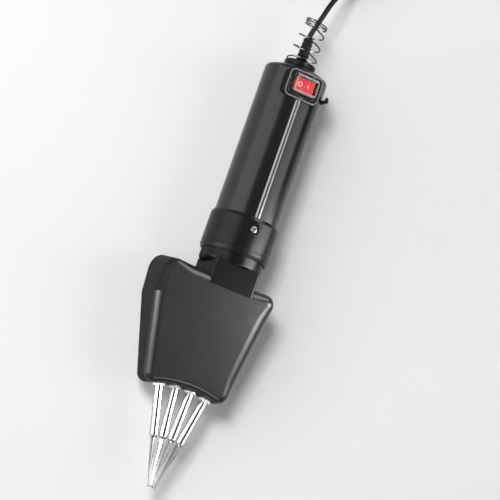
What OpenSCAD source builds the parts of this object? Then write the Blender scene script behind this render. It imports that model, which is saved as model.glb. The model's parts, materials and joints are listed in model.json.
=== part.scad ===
// Hand-held poultry plucker. Four fluted rods fan out of a wedge-shaped gear head and all of
// their axes meet the motor axis at one point in front of the tips, so every gear is a cone
// with its apex there. The tool lies on its back: X to the right, Y to the tail, Z up.

/* [Rods] */
// Angle between neighbouring rods
rod_step = 8.3; // [8:0.1:8.8]
// Lean of the whole fan to the left
fan_tilt = 1.5; // [0.5:0.1:2]
// Distance from the meeting point of the axes to the head's front wall
fan_r = 90.5; // [89:0.5:93]
// Distance from the meeting point to the rod tips
tip_r = 12; // [11.5:0.5:20]
// Diameter of a rod tip
tip_d = 1.2; // [0.8:0.1:1.3]
// Diameter of the plain shank
shank_d = 6; // [5:0.1:6.2]
// Length of shank that shows below its flange
shank_len = 38; // [30:1:42]
// Diameter at the thick end of the fluted taper
taper_d = 4.9; // [4:0.1:5]
// Flutes round a taper
flute_count = 8; // [6:1:10]
// Depth of a flute at the thick end
flute_depth = 0.45; // [0.2:0.05:0.6]
// Turn of the flutes along the taper, in degrees
flute_twist = 40; // [0:5:60]
// Thickness of the shoulder between front bush and gear
shoulder_t = 1; // [0.8:0.1:1.5]
// Diameter of that shoulder
shoulder_d = 8.6; // [8:0.1:9]

/* [Bushes and bearings] */
// Hexagon of a front bush across its flats
hex_af = 9.6; // [9:0.1:10]
// Thickness of that hexagon
hex_t = 2; // [1.5:0.1:3]
// Body of a front bush
bush_d = 8.8; // [8:0.1:9]
// Length of that body behind the hexagon
bush_len = 6; // [5:0.1:6.2]
// Body of a rear bush
rear_bush_d = 9; // [8:0.1:9.5]
// Flange of a rear bush
rear_flange_d = 11; // [10:0.1:11.5]
// Thickness of that flange
rear_flange_t = 1; // [0.8:0.1:1.3]
// Radial clearance of a turning fit
run_fit = 0.05; // [0.03:0.01:0.08]
// Radial clearance of a fixed fit
fix_fit = 0.02; // [0.01:0.01:0.04]
// End play of a turning piece
end_play = 0.3; // [0.2:0.1:0.5]

/* [Gears] */
// Teeth of a rod gear, an even number
rod_teeth = 14; // [12:2:18]
// Face width of a rod gear
rod_gear_t = 6; // [5:0.1:6.5]
// Teeth of the motor pinion
pinion_teeth = 11; // [9:2:13]
// Teeth of the drive gear, an odd number
drive_teeth = 25; // [23:2:29]
// Distance from the meeting point to the drive gear
drive_r = 140; // [135:1:143]
// Face width of the drive gear
drive_gear_t = 7; // [6:0.5:8]
// Extra face width of the pinion at each end
pinion_over = 1; // [0.5:0.1:1.5]
// Pressure angle of all teeth
tooth_angle = 25; // [22:1:26]
// Play between meshing flanks, measured on the pitch circle
backlash = 0.2; // [0.15:0.01:0.3]

/* [Head] */
// Length from the flange line to the head's rear face
head_len = 87.3; // [85:0.1:92]
// Reach of the head to the left of the outer left rod's flange
left_room = 33.9; // [30:0.1:36]
// Reach of the head to the right of the outer right rod's flange
right_room = 22.9; // [21:0.1:26]
// Length of the upright part of the left wall
left_straight = 28.3; // [24:0.1:34]
// Slant of the left wall below it
left_taper = 14.8; // [14:0.1:16]
// Slant of the right wall
right_taper = 5.8; // [5:0.1:7]
// Reach of the left lobe past the flange line
left_lobe = 5; // [4:0.5:8]
// Reach of the right lobe past the flange line
right_lobe = 2; // [1:0.5:5]
// Half the thickness at the flange line
front_half = 12.9; // [12.6:0.1:14.5]
// Slope of the front and back faces
wedge = 6.9; // [6.5:0.1:8]
// Rounding of the head's edges
edge_r = 7; // [5:0.5:8]
// Rounding along the hollow front edge
front_edge_r = 5; // [3:0.5:6]
// Wall of the head
head_wall = 2.5; // [2:0.1:2.8]
// Wall that carries the front bushes
front_wall = 3.5; // [3:0.1:4]
// Depth of the back cover, wall and rim
cover_t = 5; // [4.5:0.1:6]
// Length of head behind the cover's rear edge
cover_stop = 9; // [8:0.5:12]

/* [Plates in the head] */
// Thickness of both plates
plate_t = 6; // [5.5:0.1:6.5]
// Half height of the plate behind the rod gears
rod_plate_half = 8; // [6.5:0.1:8.5]
// Half height of the plate behind the drive gear
drive_plate_half = 12; // [10:0.5:14]
// Reach of the drive plate to the left of the motor axis
drive_plate_left = 27; // [26:0.5:30]
// Reach of the drive plate to the right of the motor axis
drive_plate_right = 15; // [14:0.5:20]
// Diameter of the posts that carry plates and cover
post_d = 7; // [6:0.1:7.2]
// Diameter of the small screws
screw_d = 2.9; // [2.5:0.1:3]
// Diameter of their heads
screw_head_d = 5.4; // [5:0.1:5.6]
// Height of their heads
screw_head_t = 1.6; // [1.2:0.1:2]
// Length of the small screws under the head
screw_len = 12; // [10:0.5:13]

/* [Neck and collar] */
// Width of the neck
neck_w = 37; // [36:0.5:40]
// Height of the neck
neck_h = 45; // [43:0.5:46]
// Rounding of the neck's corners
neck_r = 2; // [2:0.5:6]
// Length of neck that shows
neck_len = 19.7; // [17:0.1:22]
// Height of the collar above the barrel
collar_t = 2; // [1.5:0.1:3]
// Length of the collar
collar_len = 30.8; // [28:0.1:34]
// Length of the cones at both ends of the collar
collar_cone = 2.6; // [1.5:0.1:3.5]
// Drop of those cones
collar_drop = 1; // [0.5:0.1:1.2]
// Distance of the collar's groove from its front end
groove_at = 5; // [4:0.1:6]
// Width of that groove
groove_w = 0.8; // [0.5:0.1:1.2]
// Depth of that groove
groove_depth = 0.5; // [0.3:0.1:0.7]
// Length of the round spigot on the neck
spigot_len = 14; // [12:0.5:14.5]
// Bore through the neck
neck_bore = 32; // [28:0.5:33]
// Distance of the collar screw from the collar's rear end
collar_screw_at = 9.4; // [8.5:0.1:10.5]
// Window in the collar round its screw
collar_window_d = 8; // [7:0.1:9]
// Diameter of the collar screw's head
collar_head_d = 5; // [4.5:0.1:5.6]
// Socket in that head, across its flats
collar_socket = 2.5; // [2:0.1:3]

/* [Barrel] */
// Outer diameter of the barrel
barrel_d = 50; // [49:0.2:51.4]
// Wall of the barrel
barrel_wall = 2.2; // [1.8:0.1:2.4]
// Length of barrel that shows behind the collar
barrel_show = 118.2; // [115:0.1:125]
// Width of the raised wire channel
bead_w = 4.4; // [3:0.1:6]
// Rise of that channel above the barrel
bead_rise = 1.3; // [0.8:0.1:1.8]
// Height of the domed rear cap
cap_len = 6.5; // [5:0.1:8]
// Length of the cap's spigot in the barrel
cap_spigot = 3.5; // [2.5:0.1:6]
// Rounding of the cap's outer corner
cap_r = 3; // [2:0.1:4]
// Angle round the barrel from its top to the hook
hook_turn = 64; // [55:1:65]
// Rise of the hook above the barrel
hook_rise = 5.2; // [4:0.1:7]
// Length of the hook
hook_len = 8; // [7:0.1:10]
// Thickness of the hook
hook_t = 3.6; // [3:0.1:5]

/* [Motor] */
// Gap between the motor can and the barrel
motor_gap = 0.55; // [0.4:0.05:0.9]
// Length of the motor can
motor_len = 60; // [58:0.5:64]
// Wall of the motor can
can_wall = 1.5; // [1.2:0.1:1.8]
// Thickness of the can's front plate
can_front = 3; // [2.5:0.1:4]
// Length of the end bell
bell_len = 10; // [9.5:0.5:12]
// Diameter of the motor and pinion shafts
shaft_d = 5; // [4.5:0.1:5.5]
// Diameter of the boss on the can's front
boss_d = 17.5; // [16:0.1:19]
// Length of that boss
boss_len = 4.5; // [4:0.1:5]
// Outer diameter of the motor's two bearings
motor_bearing_d = 12; // [11:0.1:13]
// Width of those bearings
motor_bearing_w = 4; // [3.5:0.1:4.2]
// Thickness of the ring that holds the motor in the barrel
mount_t = 10; // [9.5:0.1:11]
// Distance of the motor screws from the axis
motor_screw_r = 14.5; // [13:0.1:16]
// Diameter of the motor screws
motor_screw_d = 4; // [3.5:0.1:4]
// Gap between the magnets and the armature
rotor_gap = 0.65; // [0.5:0.05:1]
// Length of the armature core
core_len = 34; // [30:0.5:36]
// Thickness of a magnet
magnet_t = 4; // [3.5:0.1:4.2]
// Length of a magnet
magnet_len = 44; // [40:0.5:46]
// Diameter of the commutator
commutator_d = 12; // [10:0.1:13]
// Outer diameter of the coupling sleeve
coupling_d = 12; // [10:0.1:14]
// Length of the coupling sleeve
coupling_len = 18; // [16:0.5:20]
// Outer diameter of the pinion's bearing
pinion_bearing_d = 13; // [11:0.1:13.5]
// Outer diameter of the bearing in the neck
neck_bearing_d = 16; // [14:0.1:18]
// Width of the bearing in the neck
neck_bearing_w = 5; // [4:0.1:5.5]

/* [Switch] */
// Width of the switch box across the barrel
box_w = 28.4; // [28:0.1:30]
// Length of the switch box along the barrel
box_len = 22; // [21:0.5:24]
// Height of the box's face above the barrel
box_rise = 1; // [0.8:0.1:2]
// Widening of the box on each side, from its face to the barrel
box_flare = 1.8; // [0.5:0.1:2.5]
// Rounding of the box's corners
box_r = 4.5; // [2:0.1:5]
// Height of the ridge round the box's face
ridge_t = 0.7; // [0.5:0.1:1.2]
// Width of that ridge
ridge_w = 1.1; // [0.8:0.1:1.3]
// Width of the bezel
bezel_w = 24.4; // [24:0.1:25]
// Length of the bezel
bezel_len = 18; // [17.8:0.1:18.4]
// Thickness of the bezel
bezel_t = 0.9; // [0.8:0.1:1.2]
// Width of the switch body in its panel hole
switch_w = 19.2; // [18.8:0.1:19.8]
// Length of the switch body in its panel hole
switch_len = 13; // [12.8:0.1:13.6]
// Depth of the switch body under the face
switch_depth = 14; // [12:0.1:15]
// Width of the rocker
rocker_w = 15.4; // [14.5:0.1:15.6]
// Length of the rocker along its pivot
rocker_len = 10.6; // [10:0.1:10.8]
// Height of the rocker's ends above the pivot
rocker_rise = 4.2; // [3.8:0.1:4.6]
// Radius of the rocker's hollow top
rocker_hollow_r = 44; // [36:1:60]
// Swing of the rocker from stop to stop
rocker_swing = 22; // [16:1:24]
// Diameter of the rocker's pivot pins
pivot_d = 2.4; // [2:0.1:2.8]
// Length of each pivot pin
pivot_len = 0.7; // [0.5:0.05:0.8]
// Outer width of the clear boot
boot_w = 20; // [19.8:0.1:20.4]
// Outer length of the clear boot
boot_len = 14; // [13.6:0.1:14.4]
// Wall of the boot
boot_wall = 0.7; // [0.5:0.05:0.8]
// Height of the boot above the bezel
boot_h = 6; // [5.8:0.1:7]
// Width of the boot's rim
boot_rim = 1.9; // [1.6:0.1:2]

/* [Tail] */
// Diameter of the gland's flange
gland_d = 25; // [24:0.5:27]
// Thickness of that flange
gland_t = 5; // [4:0.1:6]
// Diameter of the gland's stem in the cap
gland_stem_d = 9; // [8:0.1:11]
// Diameter of the strain relief
relief_d = 9; // [8:0.1:10]
// Length of the strain relief
relief_len = 20.4; // [16:0.1:22]
// Ribs on the strain relief
relief_ribs = 6; // [4:1:8]
// Depth of the grooves between those ribs
relief_groove = 0.7; // [0.4:0.1:1]
// Wire of the tail spring
spring_wire = 1.2; // [1:0.1:1.4]
// Outer diameter at the spring's foot
spring_foot_d = 24; // [22:0.5:25]
// Outer diameter at the spring's top
spring_top_d = 18; // [17:0.5:20]
// Height of the spring
spring_h = 34; // [30:0.1:38]
// Close turns at the spring's foot
foot_turns = 0.5; // [0.5:0.25:1]
// Open turns of the spring
open_turns = 3; // [2.5:0.25:3.5]
// Close turns at the spring's top
top_turns = 2.25; // [2:0.25:3]
// Rise of a close turn
close_pitch = 1.7; // [1.7:0.1:2.4]
// Tip of the spring's turns towards the front, as a slope
spring_tip = 0.46; // [0.3:0.02:0.48]
// Rise of the spring's middle line towards its top, as a slope
spring_lean = 0.2; // [0.1:0.02:0.22]

/* [Cord] */
// Diameter of the cord
cord_d = 4; // [3.6:0.1:4]
// Radius of the coil's outer turn, at the cord's middle
coil_r = 30; // [29:0.5:31]
// Distance between neighbouring turns and layers
coil_pitch = 4.5; // [4.5:0.1:4.8]
// Turns in each layer of the coil
layer_turns = 3; // [3:1:3]
// Thickness of the tie round the coil
tie_t = 0.6; // [0.5:0.1:0.8]
// Width of that tie
tie_w = 5; // [4:0.5:8]
// Diameter of the plug's body
plug_d = 10; // [9:0.1:11]
// Length of the plug's body
plug_len = 24; // [20:0.5:28]
// Diameter of the plug's metal sleeve
sleeve_d = 5.5; // [5:0.1:6]
// Length of that sleeve
sleeve_len = 9.5; // [9:0.1:11]
// Bore of that sleeve
sleeve_bore = 2.1; // [1.8:0.1:2.6]

/* [Hidden] */

$fn = 64;
// Facets of large round walls
fine = 256;

// Colours
black = [0.09, 0.09, 0.09];
satin_black = [0.2, 0.2, 0.2];
steel = [0.72, 0.73, 0.75];
chrome = [0.88, 0.89, 0.9];
brass = [0.72, 0.58, 0.3];
copper = [0.72, 0.42, 0.24];
aluminium = [0.66, 0.67, 0.69];
ferrite = [0.26, 0.26, 0.28];
red = [0.85, 0.26, 0.27];
clear = [0.85, 0.9, 0.88, 0.45];

// Overlap that joins solids of one piece, and reach past a face that is cut
joint = 0.5;
past = 60;
// Clearance of pieces that are slipped into each other and fixed
slip = 0.15;
// Gap under a flat flange on a curved wall, and under a piece that only rests on its seat
seat_gap = 0.2;
// Metal left round the outer bushes in their plate
plate_rim = 1.6;

// Play of a screw in its window, and of a loose cover over what it holds
loose = 0.3;
// Reach of the switch box over the barrel's rear end
box_over = 0.5;
// Metal or plastic left beyond the end of a hole, a plate or a shaft
over = 1;
// Rounding of small moulded corners
corner_r = 0.8;
small_corner_r = 0.4;

// Diameters that follow the barrel, from the outside in
collar_d = barrel_d + 2 * collar_t;
collar_bore = barrel_d + 2 * slip;
barrel_bore = barrel_d - 2 * barrel_wall;
motor_d = barrel_bore - 2 * motor_gap;
magnet_d = motor_d - 2 * can_wall - seat_gap;
core_d = magnet_d - 2 * magnet_t - 2 * rotor_gap;
box_top = barrel_d / 2 + box_rise;

// Stations along the tool's axis, counted from the flange line towards the tail
apex_s = -fan_r;
collar_s = head_len + neck_len;
collar_end = collar_s + collar_len;
barrel_s = collar_s + spigot_len + over;
barrel_end = collar_end + barrel_show;
cap_end = barrel_end + cap_len;
gland_end = cap_end + gland_t;
spring_end = gland_end + seat_gap + spring_h;
relief_end = gland_end + relief_len;
screw_s = collar_end - collar_screw_at;
mount_s = barrel_s + over;
motor_s = mount_s + mount_t;
bell_s = motor_s + motor_len;
box_s = barrel_end - box_len + box_over;
box_mid = box_s + box_len / 2;

// Rod angles, left of the axis positive, and distances along a rod from the meeting point
function rod_angle(i) = fan_tilt + (1.5 - i) * rod_step;
hex_end = fan_r - seat_gap;
shank_end = hex_end - hex_t - shank_len;
bush_end = hex_end + bush_len;
gear_r = bush_end + end_play + shoulder_t;
rear_bush_r = gear_r + rod_gear_t + end_play;
rod_plate_r = rear_bush_r + rear_flange_t;
rod_end = rod_plate_r + plate_t + over;
drive_rod = 1;
drive_bush_r = drive_r + drive_gear_t + end_play;
drive_plate_s = apex_s + (drive_bush_r + rear_flange_t) * cos(rod_angle(drive_rod))
                + rear_flange_d / 2 * sin(rod_angle(drive_rod));
drive_rod_end = drive_bush_r + rear_flange_t + plate_t + 2 * over;

// Pitch cones
rod_cone = rod_step / 2;
drive_shaft_angle = rod_angle(drive_rod);
pinion_cone = atan(sin(drive_shaft_angle)
                   / (drive_teeth / pinion_teeth + cos(drive_shaft_angle)));
drive_cone = drive_shaft_angle - pinion_cone;

// The rest position: lowest point of the collar at Z = 0, middle of the outline at X = Y = 0
axis_z = collar_d / 2;
outer_rod = rod_angle(0);
tip_s = apex_s + tip_r * cos(outer_rod) - tip_d / 2 * sin(outer_rod);
head_left = fan_r * sin(outer_rod) + left_room;
head_right = fan_r * sin(-rod_angle(3)) + right_room;
off_x = (head_left - head_right) / 2;
off_s = -(tip_s + spring_end) / 2;

// Places: along the motor axis, along a rod, and flat on the axis plane
module on_axis(s) translate([off_x, s + off_s, axis_z]) rotate([-90, 0, 0]) children();
module on_rod(i) translate([off_x, apex_s + off_s, axis_z]) rotate([0, 0, rod_angle(i)])
    rotate([-90, 0, 0]) children();
module in_plane() translate([off_x, off_s, axis_z]) children();

// Radius of a spindle's hole in what carries it
spindle_hole_d = shank_d + 2 * run_fit;
shaft_hole_d = shaft_d + 2 * run_fit;

// Plain shapes
module ring(outer, inner, height) difference() {
    cylinder(d = outer, h = height);
    translate([0, 0, -joint]) cylinder(d = inner, h = height + 2 * joint);
}

module rounded_rectangle(w, l, r) {
    square([w - 2 * r, l], center = true);
    square([w, l - 2 * r], center = true);
    for (x = [-1, 1], y = [-1, 1])
        translate([x * (w / 2 - r), y * (l / 2 - r)]) circle(r);
}

module rounded_block(w, l, r, h) linear_extrude(h) rounded_rectangle(w, l, r);

// A tube of straight steps along a path, closed at both ends
function step_dir(path, i) =
    let (a = path[max(i - 1, 0)], b = path[min(i + 1, len(path) - 1)]) (b - a) / norm(b - a);
function unit(v) = v / norm(v);
function ring_points(path, i, r, sides, up) =
    let (t = step_dir(path, i), side = unit(cross(t, up)), top = cross(side, t))
    [for (k = [0:sides - 1])
        let (turn = (k + 0.5) * 360 / sides) path[i] + r * (cos(turn) * side + sin(turn) * top)];

module tube(path, r, sides, up = [0, 0, 1]) {
    last = len(path) - 1;
    points = [for (i = [0:last]) each ring_points(path, i, r, sides, up)];
    walls = [for (i = [0:last - 1], k = [0:sides - 1])
        let (a = i * sides + k, b = i * sides + (k + 1) % sides)
        each [[a, a + sides, b], [b, a + sides, b + sides]]];
    foot = [for (k = [1:sides - 2]) [0, k, k + 1]];
    head = [for (k = [1:sides - 2]) [last * sides, last * sides + k + 1, last * sides + k]];
    polyhedron(points, concat(walls, foot, head));
}

// Least gap of a tube to itself, measured between points more than a set distance along it
function self_gap(path, d, skip) = min([for (i = [0:len(path) - 1 - skip],
    j = [i + skip:len(path) - 1]) norm(path[i] - path[j])]) - d;

// Teeth: involute flanks with short tips
addendum = 0.8;
dedendum = 1.05;
flank_points = 3;
function involute(angle) = tan(angle) * 180 / PI - angle;
function half_tooth(teeth, rp, r) =
    let (rb = rp * cos(tooth_angle), rr = max(r, rb))
    90 / teeth - backlash / 4 / rp * 180 / PI + involute(tooth_angle) - involute(acos(rb / rr));
function tooth_profile(teeth, rp) =
    let (m = 2 * rp / teeth, root = rp - dedendum * m, tip = rp + addendum * m,
         low = max(root, rp * cos(tooth_angle)))
    [for (i = [0:teeth - 1], side = [-1, 1], k = [0:flank_points])
        let (step = side < 0 ? k : flank_points - k,
             r = step == 0 ? root : low + (tip - low) * (step - 1) / (flank_points - 1),
             a = i * 360 / teeth + side * half_tooth(teeth, rp, r))
        r * [cos(a), sin(a)]];

// A conical gear between two distances from the meeting point of the axes
module cone_gear(teeth, cone, from, width, bore, turn) difference() {
    rotate(turn) translate([0, 0, from])
        linear_extrude(width, scale = (from + width) / from)
            polygon(tooth_profile(teeth, from * tan(cone)));
    translate([0, 0, from - joint]) cylinder(d = bore, h = width + 2 * joint);
}

// Rods and their gears

// Cross-section of a fluted taper, with a crest and a groove for each flute
flute_points = [for (k = [0:2 * flute_count - 1])
    let (r = taper_d / 2 - (k % 2) * flute_depth) r * [cos(k * 180 / flute_count),
                                                        sin(k * 180 / flute_count)]];
taper_slices = 8;

module spindle(i, rear) color(chrome) on_rod(i) {
    translate([0, 0, shank_end]) cylinder(d = shank_d, h = rear - shank_end);
    translate([0, 0, gear_r - shoulder_t]) cylinder(d = shoulder_d, h = shoulder_t);
    translate([0, 0, shank_end + joint]) rotate([180, 0, 0])
        linear_extrude(shank_end + joint - tip_r, scale = tip_d / taper_d, twist = flute_twist,
                       slices = taper_slices, segments = 2 * flute_count) polygon(flute_points);
}

module spindle_gear(i) color(steel) on_rod(i)
    cone_gear(rod_teeth, rod_cone, gear_r, rod_gear_t, shank_d + 2 * fix_fit,
              i % 2 * 180 / rod_teeth);

module drive_gear() color(steel) on_rod(drive_rod)
    cone_gear(drive_teeth, drive_cone, drive_r, drive_gear_t, shank_d + 2 * fix_fit, 180);

module spindle_bush(i) color(chrome) on_rod(i) difference() {
    union() {
        translate([0, 0, hex_end - hex_t]) cylinder(d = hex_af / cos(30), h = hex_t, $fn = 6);
        translate([0, 0, hex_end - joint]) cylinder(d = bush_d, h = bush_len + joint);
    }
    cylinder(d = spindle_hole_d, h = bush_end + joint);
}

module flanged_bush(from, length) difference() {
    union() {
        translate([0, 0, from]) cylinder(d = rear_flange_d, h = rear_flange_t);
        translate([0, 0, from]) cylinder(d = rear_bush_d, h = length);
    }
    translate([0, 0, from - joint]) cylinder(d = spindle_hole_d, h = length + 2 * joint);
}

module rear_bushes() color(brass) for (i = [0:3])
    on_rod(i) flanged_bush(rear_bush_r, rear_flange_t + plate_t);

module drive_bush() color(brass) on_rod(drive_rod)
    flanged_bush(drive_bush_r, rear_flange_t + plate_t);

// Head

function half_thickness(s) = front_half + s * tan(wedge);
function inner_half(s) = half_thickness(s) - head_wall / cos(wedge);
function seam(s) = cover_t / cos(wedge) - half_thickness(s);
function left_wall(s) = (head_len - left_straight - s) * tan(left_taper) - head_left;
function left_edge(s) = max(left_wall(s), -head_left);
function right_wall(s) = head_right - (head_len - s) * tan(right_taper);
outline = [[-head_left, head_len], [-head_left, head_len - left_straight],
           [left_wall(-left_lobe), -left_lobe], [right_wall(-right_lobe), -right_lobe],
           [head_right, head_len]];

// Outline moved inwards by a set distance
function inward(a, b) = [a[1] - b[1], b[0] - a[0]] / norm(b - a);
function inset(p, d) = let (n = len(p)) [for (i = [0:n - 1])
    let (n1 = inward(p[(i + n - 1) % n], p[i]), n2 = inward(p[i], p[(i + 1) % n]))
    p[i] + d * (n1 + n2) / (1 + n1 * n2)];

// A slab across the head with the given edge heights, as [s, z] points
module across(points) translate([-past * 1.5, 0, 0]) rotate([90, 0, 90])
    linear_extrude(past * 3) polygon(points);

module head_form() difference() {
    hull() for (p = inset(outline, edge_r), side = [-1, 1])
        translate([p[0], p[1], side * (half_thickness(p[1]) - edge_r / cos(wedge))])
            sphere(edge_r, $fn = 32);
    translate([0, apex_s, 0]) rotate_extrude($fn = fine) front_cut_profile();
}

// The hollow front edge is cut round the meeting point of the axes and rounded above and below
module front_cut_profile() {
    edge = half_thickness(front_edge_r);
    translate([0, -past]) square([fan_r, 2 * past]);
    for (side = [0, 1]) mirror([0, side]) difference() {
        translate([fan_r - joint, edge - front_edge_r])
            square([front_edge_r + joint, front_edge_r + past]);
        translate([fan_r + front_edge_r, edge - front_edge_r]) circle(front_edge_r);
    }
}

module head_cavity() difference() {
    intersection() {
        translate([0, 0, -past]) linear_extrude(2 * past) polygon(inset(outline, head_wall));
        across([[-past, -inner_half(-past)], [head_len, -inner_half(head_len)],
                [head_len, inner_half(head_len)], [-past, inner_half(-past)]]);
    }
    translate([0, apex_s, -past]) cylinder(r = fan_r + front_wall, h = 2 * past, $fn = fine);
}

// Everything behind the seam of the back cover
cover_end = head_len - cover_stop;
module behind_seam() across([[-past, -2 * past], [cover_end, -2 * past],
                             [cover_end, seam(cover_end)], [-past, seam(-past)]]);

// Screw places: four on the cover, two on each plate, as [x, s]
function polar(a, r) = [-r * sin(a), apex_s + r * cos(a)];
post_inset = post_d / 2 + head_wall + over;
rear_post_s = cover_end - post_d / 2 - over;
front_post_s = head_len * 0.39;
cover_posts = [for (s = [rear_post_s, front_post_s], x = [left_edge(s) + post_inset,
                                                          right_wall(s) - post_inset]) [x, s]];
rod_plate_mid = rod_plate_r + plate_t / 2;
rod_plate_screws = [polar((rod_angle(0) + rod_angle(1)) / 2, rod_plate_mid),
                    polar((rod_angle(2) + rod_angle(3)) / 2, rod_plate_mid)];
drive_plate_mid = drive_plate_s + plate_t / 2;
drive_plate_screws = [[post_d / 2 - drive_plate_left, drive_plate_mid],
                      [drive_plate_right - post_d / 2, drive_plate_mid]];

module on_back(p) translate([p[0], p[1], -half_thickness(p[1])]) rotate([-wedge, 0, 0]) children();

module neck_form(w, h, r, from, to) translate([0, from, 0]) rotate([-90, 0, 0])
    rounded_block(w, h, r, to - from);

// Length of round spigot that shows before the collar, and the rounding of its front edge
spigot_show = 6.5;
spigot_edge = 2;
spigot_step = spigot_edge * (1 - cos(45));

// Round spigot behind the neck, which the collar and the barrel sit on
module spigot() translate([0, collar_s - spigot_show, 0]) rotate([-90, 0, 0]) rotate_extrude()
    polygon([[0, 0], [barrel_d / 2 - spigot_edge, 0], [barrel_d / 2 - spigot_step, spigot_step],
             [barrel_d / 2, spigot_edge], [barrel_d / 2, spigot_show + spigot_len],
             [0, spigot_show + spigot_len]]);

// Bulkhead between head and neck, which carries the neck bearing
bulkhead_t = neck_bearing_w + 2 * over;
// Ledge that the neck bearing stands against
bearing_ledge = 2.5;
bulkhead_end = head_len + bulkhead_t - head_wall;

module head_shell() color(satin_black) in_plane() difference() {
    union() {
        difference() {
            union() {
                head_form();
                neck_form(neck_w, neck_h, neck_r, head_len - edge_r, collar_s - spigot_show + joint);
                spigot();
            }
            head_cavity();
        }
        intersection() {
            posts();
            under_face();
        }
    }
    behind_seam();
    for (p = cover_posts) on_back(p)
        cylinder(d = screw_d + 2 * fix_fit, h = screw_head_t + screw_len + over);
    for (p = rod_plate_screws) screw_hole(p, rod_plate_half);
    for (p = drive_plate_screws) screw_hole(p, drive_plate_half);
    for (i = [0:3]) translate([0, apex_s, 0]) rotate([0, 0, rod_angle(i)]) rotate([-90, 0, 0])
        translate([0, 0, fan_r - 2 * joint])
            cylinder(d = bush_d + 2 * fix_fit, h = front_wall + 4 * joint);
    translate([0, head_len - head_wall - joint, 0]) rotate([-90, 0, 0]) {
        cylinder(d = neck_bearing_d + 2 * fix_fit, h = neck_bearing_w + joint);
        cylinder(d = neck_bearing_d - 2 * bearing_ledge, h = past);
    }
    translate([0, bulkhead_end, 0]) rotate([-90, 0, 0]) cylinder(d = neck_bore, h = past);
}

// How far a plate's screw reaches into its post, and how much deeper its hole is
screw_grip = 3;
screw_spare = 0.5;
module screw_hole(p, half) translate([p[0], p[1], -past])
    cylinder(d = screw_d + 2 * fix_fit, h = past + half + screw_grip + screw_spare);

// Everything under the inside of the front face, and a little of its wall
module under_face() across([[-past, -2 * past], [head_len, -2 * past],
                            [head_len, inner_half(head_len) + joint],
                            [-past, inner_half(-past) + joint]]);

// Posts under the front face: the cover's reach the seam, the plates' end on their plates
module posts() {
    for (p = cover_posts) on_back(p)
        translate([0, 0, cover_t]) cylinder(d = post_d, h = past);
    for (p = rod_plate_screws) translate([p[0], p[1], rod_plate_half])
        cylinder(d = post_d, h = past);
    for (p = drive_plate_screws) translate([p[0], p[1], drive_plate_half])
        cylinder(d = post_d, h = past);
}

module head_back_cover() color(satin_black) in_plane() difference() {
    intersection() {
        union() {
            difference() {
                head_form();
                head_cavity();
            }
            for (p = cover_posts) on_back(p) translate([0, 0, joint])
                cylinder(d = post_d, h = cover_t);
        }
        behind_seam();
    }
    for (p = cover_posts) on_back(p) translate([0, 0, -past]) {
        cylinder(d = screw_d + 2 * slip, h = 2 * past);
        cylinder(d = screw_head_d + 2 * slip, h = past + screw_head_t + joint);
    }
}

// Cross slot in a small screw's head
cross_len = screw_head_d * 0.6;
cross_w = 0.7;
cross_depth = screw_head_t / 2;

module small_screw() difference() {
    union() {
        cylinder(d = screw_head_d, h = screw_head_t);
        cylinder(d = screw_d, h = screw_head_t + screw_len);
    }
    translate([0, 0, -joint]) for (turn = [0, 90]) rotate(turn)
        translate([-cross_len / 2, -cross_w / 2, 0]) cube([cross_len, cross_w, cross_depth + joint]);
}

module cover_screws() color(steel) in_plane() for (p = cover_posts)
    on_back(p) translate([0, 0, joint]) small_screw();

// The plates' screws come up from the back and end in the posts
module plate_screws() color(steel) in_plane() {
    for (p = rod_plate_screws) plate_screw(p, rod_plate_half);
    for (p = drive_plate_screws) plate_screw(p, drive_plate_half);
}

module plate_screw(p, half) translate([p[0], p[1], -half - screw_head_t]) {
    cylinder(d = screw_head_d, h = screw_head_t);
    cylinder(d = screw_d, h = screw_head_t + 2 * half + screw_grip);
}

// The plate is a slice of a round wall about the meeting point of the axes
module bearing_plate() color(aluminium) {
    reach = asin((rear_bush_d / 2 + plate_rim) / rod_plate_mid);
    difference() {
        in_plane() translate([0, apex_s, -rod_plate_half]) intersection() {
            cylinder(r = rod_plate_r + plate_t, h = 2 * rod_plate_half, $fn = fine);
            linear_extrude(2 * rod_plate_half)
                polygon([for (r = [fan_r, 2 * fan_r], side = [0, 1])
                         let (a = (side == (r > fan_r ? 1 : 0)) ? rod_angle(0) + reach
                                                                : rod_angle(3) - reach)
                         r * [-sin(a), cos(a)]]);
        }
        in_plane() translate([0, apex_s, -past])
            cylinder(r = rod_plate_r + seat_gap, h = 2 * past, $fn = fine);
        for (i = [0:3]) on_rod(i) translate([0, 0, rod_plate_r - 2 * joint])
            cylinder(d = rear_bush_d + 2 * fix_fit, h = plate_t + 4 * joint);
        in_plane() for (p = rod_plate_screws) translate([p[0], p[1], -past])
            cylinder(d = screw_d + 2 * slip, h = 2 * past);
    }
}

module drive_plate() color(aluminium) {
    width = drive_plate_left + drive_plate_right;
    plate_r = 3;
    difference() {
        in_plane() translate([(drive_plate_right - drive_plate_left) / 2, drive_plate_s, 0])
            rotate([-90, 0, 0]) rounded_block(width, 2 * drive_plate_half, plate_r, plate_t);
        on_rod(drive_rod) translate([0, 0, drive_bush_r])
            cylinder(d = rear_bush_d + 2 * fix_fit, h = 2 * plate_t);
        on_axis(drive_plate_s - joint)
            cylinder(d = pinion_bearing_d + 2 * fix_fit, h = plate_t + 2 * joint);
        in_plane() for (p = drive_plate_screws) translate([p[0], p[1], -past])
            cylinder(d = screw_d + 2 * slip, h = 2 * past);
    }
}

// Pinion, its shaft and bearings

pinion_r = drive_r - pinion_over;
pinion_t = drive_gear_t + 2 * pinion_over;
shaft_meet = mount_s - coupling_len / 2 - 1.5 * over;

module pinion() color(steel) on_axis(apex_s)
    cone_gear(pinion_teeth, pinion_cone, pinion_r, pinion_t, shaft_d + 2 * fix_fit, 180);

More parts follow.
